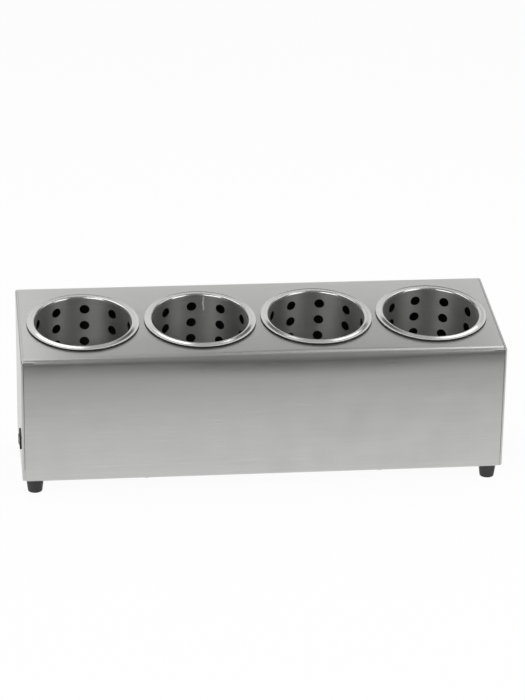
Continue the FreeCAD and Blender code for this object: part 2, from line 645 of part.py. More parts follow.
def thermostat_rivets():
    """Rivets of the thermal cut-out."""
    return Part.makeCompound([rivet(Vector(x, y, TRAY_FLOOR_Z - TRAY_SHEET), TRAY_SHEET + THERMOSTAT_EAR_SHEET)
                              for x, y in thermostat_rivet_places()])


def thermostat_blades():
    """The thermal cut-out's two blades."""
    top = TRAY_FLOOR_Z + THERMOSTAT_HEIGHT
    return Part.makeCompound([
        block((x - 2.4, x + 2.4), (-BLADE_THICKNESS / 2, BLADE_THICKNESS / 2), (top, top + 5))
        for x in (THERMOSTAT_X - 4.5, THERMOSTAT_X + 4.5)])


def terminal_block():
    """Ceramic two-way block, bolted to the base plate."""
    body = rounded_slab(BLOCK_LENGTH, BLOCK_WIDTH, BLOCK_HEIGHT, 2, in_xy, Z_AXIS)
    body.translate(Vector(BLOCK_X, BLOCK_Y, CASE_BOTTOM))
    cutters = [rod(SCREW_HOLE, BLOCK_HEIGHT, Vector(BLOCK_X, BLOCK_Y, CASE_BOTTOM))]
    cutters.append(rod(SCREW_HEAD_DIAMETER + 0.6, BLOCK_HEIGHT,
                       Vector(BLOCK_X, BLOCK_Y, CASE_BOTTOM + BLOCK_HEIGHT / 2)))
    for y in block_way_ys():
        cutters.append(rod(BLOCK_BORE, BLOCK_LENGTH + 2,
                           Vector(BLOCK_X - BLOCK_LENGTH / 2 - 1, y, block_way_z()), X_AXIS))
        cutters += [rod(3.4, 20, Vector(BLOCK_X + dx, y, block_way_z())) for dx in (-5, 5)]
    return body.cut(cutters)


def block_way_ys():
    """Y of the terminal block's two ways."""
    return [BLOCK_Y - BLOCK_WAY_PITCH / 2 - 1.5, BLOCK_Y + BLOCK_WAY_PITCH / 2 + 1.5]


def block_way_z():
    """Height of the terminal block's ways."""
    return CASE_BOTTOM + BLOCK_HEIGHT / 2


def block_inserts():
    """Brass barrels in the terminal block's two ways."""
    length = BLOCK_LENGTH - 2
    barrels = []
    for y in block_way_ys():
        start = Vector(BLOCK_X - length / 2, y, block_way_z())
        barrels.append(rod(BLOCK_BORE - 2 * FIT_GAP, length, start, X_AXIS).cut(rod(3.0, length, start, X_AXIS)))
    return Part.makeCompound(barrels)


def block_screw():
    """Screw down through the terminal block and the base plate."""
    start = Vector(BLOCK_X, BLOCK_Y, CASE_BOTTOM + BLOCK_HEIGHT / 2 + SCREW_GAP)
    length = start.z - FOOT_HEIGHT + SCREW_GAP + NUT_HEIGHT + SCREW_STICK_OUT
    return cheese_head_screw(length, start, -Z_AXIS)


def block_nut():
    """Nut of the terminal block's screw, under the base plate."""
    return hexagon_nut(NUT_ACROSS_FLATS, NUT_HEIGHT, NUT_BORE,
                       Vector(BLOCK_X, BLOCK_Y, FOOT_HEIGHT - SCREW_GAP - NUT_HEIGHT))


# ---------------------------------------------------------------- rocker switch
def in_switch(shape):
    """Place a shape drawn with X out of the left panel, Y along the bezel and Z across it."""
    placed = shape.copy()
    placed = placed.mirror(Vector(0, 0, 0), X_AXIS)
    placed.translate(Vector(-HALF_WIDTH, SWITCH_Y, SWITCH_Z))
    return placed


def switch_cutout():
    """Cutter for the switch's opening in the left panel."""
    length = SWITCH_BODY_LENGTH / 2 + SWITCH_CUTOUT_GAP
    width = SWITCH_BODY_WIDTH / 2 + SWITCH_CUTOUT_GAP
    return in_switch(block((-5, 5), (-length, length), (-width, width)))


def switch_housing():
    """Switch body with its bezel, the rocker's well and two snap ears behind the panel."""
    bezel = rounded_slab(BEZEL_LENGTH, BEZEL_WIDTH, BEZEL_HEIGHT, BEZEL_CORNER, in_yz, X_AXIS)
    front = [edge for edge in bezel.Edges if all(abs(v.X - BEZEL_HEIGHT) < 1e-6 for v in edge.Vertexes)]
    bezel = bezel.makeFillet(0.8, front)
    half_length, half_width = SWITCH_BODY_LENGTH / 2, SWITCH_BODY_WIDTH / 2
    body = block((-SWITCH_BODY_DEPTH, 0), (-half_length, half_length), (-half_width, half_width))
    ear_start, ear_end = -END_SHEET - FIT_GAP, -END_SHEET - 5
    for side in (-1, 1):
        ear = Part.Face(Part.makePolygon([
            in_xy(ear_start, side * half_length), in_xy(ear_start, side * (half_length + 0.8)),
            in_xy(ear_end, side * half_length), in_xy(ear_start, side * half_length)])).extrude(Z_AXIS * 6)
        ear.translate(Vector(0, 0, -3))
        body = body.fuse(ear)
    housing = bezel.fuse(body)
    well_half = ROCKER_RADIUS + ROCKER_GAP
    well = block((-WELL_DEPTH, 10), (-well_half, well_half),
                 (-ROCKER_WIDTH / 2 - ROCKER_GAP, ROCKER_WIDTH / 2 + ROCKER_GAP))
    pivot_reach = ROCKER_WIDTH / 2 + PIVOT_LENGTH + PIVOT_GAP
    pivot = rod(PIVOT_DIAMETER + 2 * PIVOT_GAP, 2 * pivot_reach,
                Vector(-PIVOT_BELOW_PANEL, 0, -pivot_reach))
    return in_switch(housing.cut([well, pivot]))


def switch_rocker():
    """Roof-shaped rocker on two stub pivots, at rest with its rear half pressed in."""
    def on_end(height, side):
        return (height, side * math.sqrt(ROCKER_RADIUS ** 2 - height ** 2))

    upper, lower = ROCKER_SHOULDER, -ROCKER_KEEL
    outline = [
        Part.makeLine(in_xy(*on_end(upper, -1)), in_xy(ROCKER_RIDGE, 0)),
        Part.makeLine(in_xy(ROCKER_RIDGE, 0), in_xy(*on_end(upper, 1))),
        Part.Arc(in_xy(*on_end(upper, 1)), in_xy(0, ROCKER_RADIUS), in_xy(*on_end(lower, 1))).toShape(),
        Part.makeLine(in_xy(*on_end(lower, 1)), in_xy(*on_end(lower, -1))),
        Part.Arc(in_xy(*on_end(lower, -1)), in_xy(0, -ROCKER_RADIUS), in_xy(*on_end(upper, -1))).toShape(),
    ]
    rocker = Part.Face(Part.Wire(outline)).extrude(Z_AXIS * ROCKER_WIDTH)
    rocker.translate(Vector(0, 0, -ROCKER_WIDTH / 2))
    ridge = [edge for edge in rocker.Edges if all(abs(v.X - ROCKER_RIDGE) < 1e-6 for v in edge.Vertexes)]
    rocker = rocker.makeFillet(1.5, ridge)
    reach = ROCKER_WIDTH / 2 + PIVOT_LENGTH
    rocker = rocker.fuse(rod(PIVOT_DIAMETER, 2 * reach, Vector(0, 0, -reach)))
    rocker.rotate(Vector(0, 0, 0), Z_AXIS, ROCKER_TILT)
    rocker.translate(Vector(-PIVOT_BELOW_PANEL, 0, 0))
    return in_switch(rocker)


def switch_terminals():
    """Two blades at the back of the switch."""
    start = -SWITCH_BODY_DEPTH
    return in_switch(Part.makeCompound([
        block((start - SWITCH_BLADE_LENGTH, start), (y - BLADE_THICKNESS / 2, y + BLADE_THICKNESS / 2),
              (-SWITCH_BLADE_WIDTH / 2, SWITCH_BLADE_WIDTH / 2))
        for y in (-SWITCH_BLADE_PITCH / 2, SWITCH_BLADE_PITCH / 2)]))


# ---------------------------------------------------------------- appliance inlet
def inlet_screw_xs():
    """X of the inlet's two screws."""
    return [INLET_X - INLET_SCREW_PITCH / 2, INLET_X + INLET_SCREW_PITCH / 2]


def in_inlet(shape):
    """Place a shape drawn with Y out of the back panel, about the inlet's middle."""
    placed = shape.copy()
    placed.translate(Vector(INLET_X, HALF_DEPTH, INLET_Z))
    return placed


def power_inlet():
    """Three-pole appliance inlet: flange, body and the shaped well for the connector."""
    flange = rounded_slab(INLET_FLANGE_LENGTH, INLET_FLANGE_WIDTH, INLET_FLANGE_HEIGHT, 5, in_xz, Y_AXIS)
    body = rounded_slab(INLET_BODY_LENGTH, INLET_BODY_WIDTH, INLET_BODY_DEPTH, 1, in_xz, -Y_AXIS)
    a, b, c = INLET_WELL_LENGTH / 2, INLET_WELL_WIDTH / 2, INLET_WELL_CHAMFER
    outline = [(-a, -b), (a, -b), (a, b - c), (a - c, b), (-a + c, b), (-a, b - c)]
    well = rounded_face(outline, [0.8] * 6, in_xz).extrude(-Y_AXIS * INLET_WELL_DEPTH)
    well.translate(Vector(0, INLET_FLANGE_HEIGHT, 0))
    holes = []
    for x in (-INLET_SCREW_PITCH / 2, INLET_SCREW_PITCH / 2):
        holes.append(rod(INLET_SCREW_HOLE, 20, Vector(x, -10, 0), Y_AXIS))
        depth = (INLET_SCREW_HEAD - INLET_SCREW_DIAMETER) / 2 + 2 * SCREW_GAP
        holes.append(Part.makeCone(INLET_SCREW_HOLE / 2, INLET_SCREW_HOLE / 2 + depth, depth,
                                   Vector(x, INLET_FLANGE_HEIGHT - depth, 0), Y_AXIS))
    return in_inlet(flange.fuse(body).cut([well] + holes))


def inlet_pins():
    """Three contact pins with their solder tabs behind the body."""
    floor = INLET_FLANGE_HEIGHT - INLET_WELL_DEPTH
    behind = -INLET_BODY_DEPTH
    pins = []
    for x, z in ((-INLET_PIN_PITCH, -INLET_PIN_OFFSET), (0, INLET_PIN_OFFSET), (INLET_PIN_PITCH, -INLET_PIN_OFFSET)):
        half_x, half_z = INLET_PIN_THICKNESS / 2, INLET_PIN_WIDTH / 2
        pin = block((x - half_x, x + half_x), (floor, floor + INLET_PIN_REACH), (z - half_z, z + half_z))
        tab = block((x - BLADE_THICKNESS / 2, x + BLADE_THICKNESS / 2),
                    (behind - INLET_TAB_LENGTH, behind), (z - half_z, z + half_z))
        pins += [pin, tab]
    return in_inlet(Part.makeCompound(pins))


def inlet_screws():
    """Countersunk screws of the inlet."""
    head, shank = INLET_SCREW_HEAD / 2, INLET_SCREW_DIAMETER / 2
    length = INLET_FLANGE_HEIGHT + WRAP_SHEET + INLET_NUT_HEIGHT + SCREW_STICK_OUT
    outline = [(0, 0), (head, 0), (shank, -(head - shank)), (shank, -length), (0, -length)]
    return in_inlet(Part.makeCompound([turned_piece(outline, Vector(x, INLET_FLANGE_HEIGHT, 0), Y_AXIS)
                                       for x in (-INLET_SCREW_PITCH / 2, INLET_SCREW_PITCH / 2)]))


def inlet_nuts():
    """Nuts of the inlet's screws, inside the back panel."""
    nuts = []
    for x in (-INLET_SCREW_PITCH / 2, INLET_SCREW_PITCH / 2):
        nut = hexagon_nut(INLET_NUT_ACROSS_FLATS, INLET_NUT_HEIGHT, INLET_SCREW_DIAMETER + 2 * SCREW_GAP,
                          Vector(0, 0, 0))
        nut.Placement = FreeCAD.Placement(Vector(x, -WRAP_SHEET - SCREW_GAP, 0),
                                          FreeCAD.Rotation(Z_AXIS, -Y_AXIS))
        nuts.append(nut)
    return in_inlet(Part.makeCompound(nuts))


# ---------------------------------------------------------------- earth
def earth_stud():
    """Bonding screw up through the base plate."""
    start = Vector(EARTH_X, EARTH_Y, FOOT_HEIGHT - SCREW_GAP)
    return cheese_head_screw(EARTH_LENGTH, start)


def earth_nut():
    """Washer and nut on the bonding screw."""
    seat = CASE_BOTTOM + SCREW_GAP
    washer = rod(WASHER_DIAMETER, WASHER_HEIGHT, Vector(EARTH_X, EARTH_Y, seat))
    washer = washer.cut(rod(NUT_BORE, WASHER_HEIGHT, Vector(EARTH_X, EARTH_Y, seat)))
    nut = hexagon_nut(NUT_ACROSS_FLATS, NUT_HEIGHT, NUT_BORE,
                      Vector(EARTH_X, EARTH_Y, seat + WASHER_HEIGHT + SCREW_GAP))
    return Part.makeCompound([washer, nut])


# ---------------------------------------------------------------- all sub-parts
def all_parts():
    """Name and shape of every sub-part."""
    parts = {
        "casing_wrap": casing_wrap(),
        "left_end_panel": end_panel(-1),
        "right_end_panel": end_panel(1),
        "base_plate": base_plate(),
        "foot_screws": foot_screws(),
        "foot_nuts": foot_nuts(),
        "base_screws": base_screws(),
        "base_nuts": base_nuts(),
        "reflector_tray": reflector_tray(),
        "heating_element": heating_element(),
        "element_terminals": element_terminals(),
        "element_brackets": element_brackets(),
        "thermal_cutout": thermal_cutout(),
        "thermostat_blades": thermostat_blades(),
        "thermostat_rivets": thermostat_rivets(),
        "terminal_block": terminal_block(),
        "block_inserts": block_inserts(),
        "block_screw": block_screw(),
        "block_nut": block_nut(),
        "switch_housing": switch_housing(),
        "switch_rocker": switch_rocker(),
        "switch_terminals": switch_terminals(),
        "power_inlet": power_inlet(),
        "inlet_pins": inlet_pins(),
        "inlet_screws": inlet_screws(),
        "inlet_nuts": inlet_nuts(),
        "earth_stud": earth_stud(),
        "earth_nut": earth_nut(),
    }
    for name in FOOT_PLACES:
        parts[f"foot_{name}"] = foot(name)
    for index in range(CYLINDER_COUNT):
        parts[f"cylinder_{index + 1}_tube"] = cylinder_tube(index)
        parts[f"cylinder_{index + 1}_floor"] = cylinder_floor(index)
    return parts


def main():
    """Write one STEP file per sub-part."""
    os.makedirs("parts", exist_ok=True)
    for name, shape in all_parts().items():
        if not shape.isValid():
            raise ValueError(f"{name} is not a valid shape")
        shape.exportStep(f"parts/{name}.step")
        print(f"{name}: {len(shape.Solids)} solid(s), {shape.Volume / 1000:.2f} cm3")


main()
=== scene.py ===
"""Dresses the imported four-cylinder cutlery dispenser and sets it in a plain studio."""

import logging
import math
from dataclasses import dataclass, field
from enum import Enum

import bmesh
import bpy
import numpy as np
from mathutils import Matrix, Vector

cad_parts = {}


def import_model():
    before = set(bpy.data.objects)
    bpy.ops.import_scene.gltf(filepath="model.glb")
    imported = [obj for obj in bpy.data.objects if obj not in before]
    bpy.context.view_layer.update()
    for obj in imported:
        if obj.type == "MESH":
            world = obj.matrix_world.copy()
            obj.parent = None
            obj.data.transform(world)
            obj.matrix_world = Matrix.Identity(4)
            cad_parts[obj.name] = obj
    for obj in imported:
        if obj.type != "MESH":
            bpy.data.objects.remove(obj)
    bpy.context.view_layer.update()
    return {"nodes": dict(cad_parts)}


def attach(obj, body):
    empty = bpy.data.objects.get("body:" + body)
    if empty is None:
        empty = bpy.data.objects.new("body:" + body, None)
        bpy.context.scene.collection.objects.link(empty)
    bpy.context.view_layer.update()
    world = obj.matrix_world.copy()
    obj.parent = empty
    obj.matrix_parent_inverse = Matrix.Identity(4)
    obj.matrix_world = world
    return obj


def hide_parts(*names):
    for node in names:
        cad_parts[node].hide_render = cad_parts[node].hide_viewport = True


LOG = logging.getLogger("cutlery_dispenser")
MM = 0.001
COUNT = 4  # cylinders in the row
PITCH = 116.5  # from one cylinder's axis to the next, in millimetres
TOP_TILT = 10.0  # of the top and of the cylinders, in degrees
FOLD_PARTS = 12  # of the arc of each rounded fold
LONGEST_RUN = 12.0  # of a flat sheet between grid lines, in millimetres
NOISE = (0.3, 0.7)  # range that a noise texture mostly keeps within


def row_x(index: int) -> float:
    """X of a cylinder's axis, in millimetres: (index - middle index) * pitch."""
    return (index - (COUNT - 1) / 2) * PITCH


# ---------------------------------------------------------------- shapes worked out on grids
def rounded_path(corners: np.ndarray, radii: list[float], steps: int) -> np.ndarray:
    """Round the inner corners of an open path.

    An arc of radius r touches both lines of a corner at r * tan(turn / 2) from it, and its points are
    centre + r * (cos, sin) of evenly spaced angles.

    Args:
        corners: Points of the path in its plane, shape (n, 2).
        radii: One radius for each inner corner.
        steps: Parts that each arc is divided into.

    Returns:
        The points of the rounded path, shape (m, 2).
    """
    pieces = [corners[:1]]
    for i, radius in enumerate(radii, start=1):
        before = (corners[i] - corners[i - 1]) / np.linalg.norm(corners[i] - corners[i - 1])
        after = (corners[i + 1] - corners[i]) / np.linalg.norm(corners[i + 1] - corners[i])
        turn = math.atan2(before[0] * after[1] - before[1] * after[0], float(before @ after))
        start = corners[i] - before * radius * math.tan(abs(turn) / 2)
        side = math.copysign(1.0, turn)
        centre = start + side * radius * np.array([-before[1], before[0]])
        first = math.atan2(*(start - centre)[::-1])
        angles = first + turn * np.linspace(0, 1, steps + 1)
        pieces.append(centre + radius * np.stack([np.cos(angles), np.sin(angles)], axis=1))
    pieces.append(corners[-1:])
    return np.concatenate(pieces)


def divided(path: np.ndarray, longest: float) -> np.ndarray:
    """Divide a path's long runs evenly.

    Args:
        path: Points, shape (n, d).
        longest: No part of the new path is longer than this.

    Returns:
        The same path with more points.
    """
    lengths = np.linalg.norm(np.diff(path, axis=0), axis=1)
    counts = np.maximum(np.ceil(lengths / longest).astype(int), 1)
    places = np.concatenate([i + np.arange(n) / n for i, n in enumerate(counts)] + [[len(path) - 1.0]])
    knots = np.arange(len(path))
    return np.stack([np.interp(places, knots, path[:, k]) for k in range(path.shape[1])], axis=1)


def rectangle_loop(low: tuple[float, float], high: tuple[float, float], across: int, up: int) -> np.ndarray:
    """Walk round a rectangle from its low corner, with an even number of points on facing sides.

    Args:
        low: Lower left corner.
        high: Upper right corner.
        across: Parts of the lower and upper sides.
        up: Parts of the right and left sides.

    Returns:
        Points of the closed loop, without its first point again, shape (2 * across + 2 * up, 2).
    """
    a, b = np.arange(across) / across, np.arange(up) / up
    one_a, one_b = np.ones(across), np.ones(up)
    share = np.concatenate([np.stack([a, 0 * a], 1), np.stack([one_b, b], 1),
                            np.stack([1 - a, one_a], 1), np.stack([0 * b, 1 - b], 1)])
    return np.array(low) + share * (np.array(high) - np.array(low))


def round_loop(centre: tuple[float, float], radius: float, loop: np.ndarray) -> np.ndarray:
    """Circle whose points lie on the rays from its centre to the points of another loop.

    Args:
        centre: Centre of the circle.
        radius: Its radius.
        loop: The loop to match, shape (n, 2).

    Returns:
        Points centre + radius * unit(loop - centre), shape (n, 2).
    """
    rays = loop - np.array(centre)
    return np.array(centre) + radius * rays / np.linalg.norm(rays, axis=1, keepdims=True)


def between_loops(outer: np.ndarray, inner: np.ndarray, shares: list[float]) -> np.ndarray:
    """Grid from one loop to another: point = outer + share * (inner - outer), one row for each share.

    Args:
        outer: Loop where the share is 0, shape (n, d).
        inner: Loop where the share is 1, shape (n, d).
        shares: The rows' shares.

    Returns:
        Grid of shape (len(shares), n, d).
    """
    share = np.array(shares)[:, None, None]
    return outer[None] + share * (inner - outer)[None]


@dataclass
class SheetMesh:
    """Vertices and quads of one piece, gathered patch by patch."""

    points: list[np.ndarray] = field(default_factory=list)
    quads: list[np.ndarray] = field(default_factory=list)
    finishes: list[np.ndarray] = field(default_factory=list)
    total: int = 0

    def add(self, grid: np.ndarray, closed: bool = False, flip: bool = False, finish: int = 0) -> None:
        """Add a grid of points as a patch of quads.

        Quad (i, j) joins the points (i, j), (i, j + 1), (i + 1, j + 1) and (i + 1, j).

        Args:
            grid: Points, shape (rows, columns, 3).
            closed: Whether the last column joins the first.
            flip: Whether the quads face the other way.
            finish: Number of the patch's material on the piece.
        """
        rows, columns = grid.shape[:2]
        index = self.total + np.arange(rows * columns).reshape(rows, columns)
        if closed:
            index = np.concatenate([index, index[:, :1]], axis=1)
        quads = np.stack([index[:-1, :-1], index[:-1, 1:], index[1:, 1:], index[1:, :-1]], axis=-1)
        quads = quads.reshape(-1, 4)
        self.quads.append(quads[:, ::-1] if flip else quads)
        self.points.append(grid.reshape(-1, 3))
        self.finishes.append(np.full(len(quads), finish))
        self.total += rows * columns

    def build(self, name: str, materials: list[bpy.types.Material], thickness: float = 0.0,
              sharp: float = 40.0, behind: int = 0) -> bpy.types.Object:
        """Make the object: patches joined, thickness added behind the faces, smooth with sharp edges.

        Args:
            name: Name of the piece.
            materials: Its materials, in the order of the patches' finish numbers.
            thickness: Sheet thickness in metres, or 0 for a closed form.
            sharp: Edges that turn by more than this many degrees stay sharp.
            behind: Added to a face's finish number for the face behind it.

        Returns:
            The finished object, at the origin.
        """
        mesh = bpy.data.meshes.new(name)
        mesh.from_pydata(np.concatenate(self.points), [], np.concatenate(self.quads).tolist())
        mesh.polygons.foreach_set("material_index", np.concatenate(self.finishes).astype(np.int32))
        joined = bmesh.new()
        joined.from_mesh(mesh)
        bmesh.ops.remove_doubles(joined, verts=joined.verts, dist=2e-6)
        bmesh.ops.dissolve_degenerate(joined, edges=joined.edges, dist=1e-6)
        if not thickness:
            bmesh.ops.recalc_face_normals(joined, faces=joined.faces)
        joined.to_mesh(mesh)
        joined.free()
        for material in materials:
            mesh.materials.append(material)
        piece = bpy.data.objects.new(name, mesh)
        bpy.context.scene.collection.objects.link(piece)
        if thickness:
            wall = piece.modifiers.new("wall", "SOLIDIFY")
            wall.thickness, wall.offset, wall.use_even_offset = thickness, -1.0, True
            wall.material_offset = behind
            finished = piece.evaluated_get(bpy.context.evaluated_depsgraph_get())
            thick = bpy.data.meshes.new_from_object(finished)
            piece.modifiers.clear()
            piece.data = thick
            bpy.data.meshes.remove(mesh)
            thick.name = name
        piece.data.polygons.foreach_set("use_smooth", np.ones(len(piece.data.polygons), dtype=bool))
        piece.data.set_sharp_from_angle(angle=math.radians(sharp))
        return piece


def turned(profile: np.ndarray, angles: np.ndarray) -> np.ndarray:
    """Turn a profile about Z: point = (r cos a, r sin a, z).

    Args:
        profile: Radius and height, shape (n, 2).
        angles: Angles in radians, shape (m,).

    Returns:
        Grid of shape (n, m, 3).
    """
    r, z = profile[:, None, 0], profile[:, None, 1]
    return np.stack([r * np.cos(angles), r * np.sin(angles), z + 0 * angles], axis=-1)


# ---------------------------------------------------------------- materials
class Grain(Enum):
    """Which way the brushing of a steel surface runs."""

    ALONG_CASE = (1.0, 0.0, 0.0)
    FRONT_TO_BACK = (0.0, 1.0, 0.0)


class NodeSheet:
    """Adds and joins the nodes of one node tree."""

    def __init__(self, tree: bpy.types.NodeTree) -> None:
        """Keep the tree."""
        self.tree = tree

    def add(self, kind: str, **settings: object) -> bpy.types.Node:
        """Add a node.

        Args:
            kind: Its type name.
            **settings: Properties to set on it.

        Returns:
            The node.
        """
        node = self.tree.nodes.new(kind)
        for key, value in settings.items():
            setattr(node, key, value)
        return node

    def feed(self, target: bpy.types.NodeSocket, source: object) -> None:
        """Link a socket, or set its plain value."""
        if isinstance(source, bpy.types.NodeSocket):
            self.tree.links.new(source, target)
        else:
            target.default_value = source

    def math(self, operation: str, first: object, second: object = 0.0) -> bpy.types.NodeSocket:
        """Combine two values and return the result's socket."""
        node = self.add("ShaderNodeMath", operation=operation)
        self.feed(node.inputs[0], first)
        self.feed(node.inputs[1], second)
        return node.outputs[0]

    def ramp(self, value: object, given: tuple[float, float],
             wanted: tuple[float, float]) -> bpy.types.NodeSocket:
        """Map a value's given range onto the wanted one, clamped, and return the result's socket."""
        node = self.add("ShaderNodeMapRange")
        for socket, number in zip(node.inputs[:5], (value, *given, *wanted)):
            self.feed(socket, number)
        return node.outputs[0]

    def vector(self, operation: str, first: object, second: object) -> bpy.types.NodeSocket:
        """Combine two vectors, or scale the first by a number, and return the result's socket."""
        node = self.add("ShaderNodeVectorMath", operation=operation)
        self.feed(node.inputs[0], first)
        self.feed(node.inputs["Scale" if operation == "SCALE" else 1], second)
        return node.outputs[0]

    def group(self, tree: bpy.types.NodeTree, **inputs: object) -> bpy.types.Node:
        """Place a node group and give it its inputs by name."""
        node = self.add("ShaderNodeGroup", node_tree=tree)
        for title, given in inputs.items():
            self.feed(node.inputs[title], given)
        return node

    def bump(self, shader: bpy.types.Node, height: object, strength: float, depth: float) -> None:
        """Give a shader bump of a depth in metres."""
        node = self.add("ShaderNodeBump")
        for title, given in (("Strength", strength), ("Distance", depth), ("Height", height)):
            self.feed(node.inputs[title], given)
        self.feed(shader.inputs["Normal"], node.outputs[0])

    def show(self, surface: bpy.types.Node, kind: str = "ShaderNodeOutputMaterial") -> None:
        """Make a shader the surface of the material, or of the world."""
        self.feed(self.add(kind).inputs["Surface"], surface.outputs[0])

    def show_mix(self, share: object, first: bpy.types.Node, second: bpy.types.Node) -> None:
        """Make a mix of two shaders the surface: the second one where the share is 1."""
        mix = self.add("ShaderNodeMixShader")
        for socket, given in zip(mix.inputs, (share, first.outputs[0], second.outputs[0])):
            self.feed(socket, given)
        self.show(mix)


def new_group(name: str, inputs: list[tuple[str, str]], outputs: list[tuple[str, str]]) -> tuple:
    """Start a shader node group.

    Args:
        name: Its name.
        inputs: Name and socket type of each input.
        outputs: Name and socket type of each output.

    Returns:
        The group, its NodeSheet, its input node and its output node.
    """
    group = bpy.data.node_groups.new(name, "ShaderNodeTree")
    for title, kind in inputs:
        group.interface.new_socket(name=title, in_out="INPUT", socket_type=kind)
    for title, kind in outputs:
        group.interface.new_socket(name=title, in_out="OUTPUT", socket_type=kind)
    sheet = NodeSheet(group)
    return group, sheet, sheet.add("NodeGroupInput"), sheet.add("NodeGroupOutput")


def brushing_group() -> bpy.types.NodeTree:
    """Fine and coarse scratches that run along X of the given coordinates.

    Shade is 0.65 * fine + 0.35 * coarse noise, both stretched along X.

    Returns:
        The group, with outputs Shade and Height.
    """
    group, sheet, given, result = new_group(
        "brushing", [("Coordinates", "NodeSocketVector"), ("Fine", "NodeSocketFloat"),
                     ("Coarse", "NodeSocketFloat")],
        [("Shade", "NodeSocketFloat"), ("Height", "NodeSocketFloat")])
    shades = []
    for title, stretch, detail in (("Fine", 0.011, 2.0), ("Coarse", 0.02, 3.0)):
        scaled = sheet.vector("SCALE", given.outputs["Coordinates"], given.outputs[title])
        noise = sheet.add("ShaderNodeTexNoise", noise_dimensions="3D")
        noise.inputs["Scale"].default_value = 1.0
        noise.inputs["Detail"].default_value = detail
        noise.inputs["Roughness"].default_value = 0.6
        sheet.feed(noise.inputs["Vector"], sheet.vector("MULTIPLY", scaled, (stretch, 1.0, 1.0)))
        shades.append(noise.outputs[0])
    fine, coarse = (sheet.math("MULTIPLY", shade, share) for shade, share in zip(shades, (0.65, 0.35)))
    sheet.feed(result.inputs["Shade"], sheet.math("ADD", fine, coarse))
    sheet.feed(result.inputs["Height"], shades[0])
    return group


def handling_group() -> bpy.types.NodeTree:
    """Cloudy wipe marks from handling and cleaning.

    Marks is wide noise times broken noise, from 0 on clean metal to 1 where it was wiped.

    Returns:
        The group, with output Marks.
    """
    group, sheet, given, result = new_group(
        "handling", [("Coordinates", "NodeSocketVector"), ("Size", "NodeSocketFloat")],
        [("Marks", "NodeSocketFloat")])
    layers = []
    for factor, detail in ((1.0, 3.0), (4.3, 5.0)):
        noise = sheet.add("ShaderNodeTexNoise", noise_dimensions="3D")
        noise.inputs["Detail"].default_value = detail
        sheet.feed(noise.inputs["Vector"], given.outputs["Coordinates"])
        sheet.feed(noise.inputs["Scale"], sheet.math("MULTIPLY", given.outputs["Size"], factor))
        layers.append(sheet.ramp(noise.outputs[0], (0.35, 0.7), (0.0, 1.0)))
    sheet.feed(result.inputs["Marks"], sheet.math("MULTIPLY", layers[0], layers[1]))
    return group


def mould_group() -> bpy.types.NodeTree:
    """Fine pitted texture of a moulded surface.

    Returns:
        The group, with outputs Shade, a soft wide variation, and Height, the pits.
    """
    group, sheet, given, result = new_group(
        "mould_texture", [("Coordinates", "NodeSocketVector"), ("Pits", "NodeSocketFloat")],
        [("Shade", "NodeSocketFloat"), ("Height", "NodeSocketFloat")])
    cells = sheet.add("ShaderNodeTexVoronoi", feature="F1")
    sheet.feed(cells.inputs["Vector"], given.outputs["Coordinates"])
    sheet.feed(cells.inputs["Scale"], given.outputs["Pits"])
    wide = sheet.add("ShaderNodeTexNoise")
    sheet.feed(wide.inputs["Vector"], given.outputs["Coordinates"])
    sheet.feed(wide.inputs["Scale"], sheet.math("MULTIPLY", given.outputs["Pits"], 0.07))
    sheet.feed(result.inputs["Shade"], wide.outputs[0])
    sheet.feed(result.inputs["Height"], cells.outputs["Distance"])
    return group


@dataclass(frozen=True)
class Groups:
    """The shared node groups."""

    brushing: bpy.types.NodeTree
    handling: bpy.types.NodeTree
    mould: bpy.types.NodeTree


def bare_material(name: str) -> tuple[bpy.types.Material, NodeSheet]:
    """Start a material with an empty tree, and return it with its NodeSheet."""
    material = bpy.data.materials.new(name)
    material.use_nodes = True
    material.node_tree.nodes.clear()
    return material, NodeSheet(material.node_tree)


def new_material(name: str) -> tuple[bpy.types.Material, NodeSheet, bpy.types.Node]:
    """Start a material with a Principled shader.

    Args:
        name: Its name.

    Returns:
        The material, its NodeSheet and its Principled node.
    """
    material, sheet = bare_material(name)
    shader = sheet.add("ShaderNodeBsdfPrincipled")
    sheet.show(shader)
    return material, sheet, shader


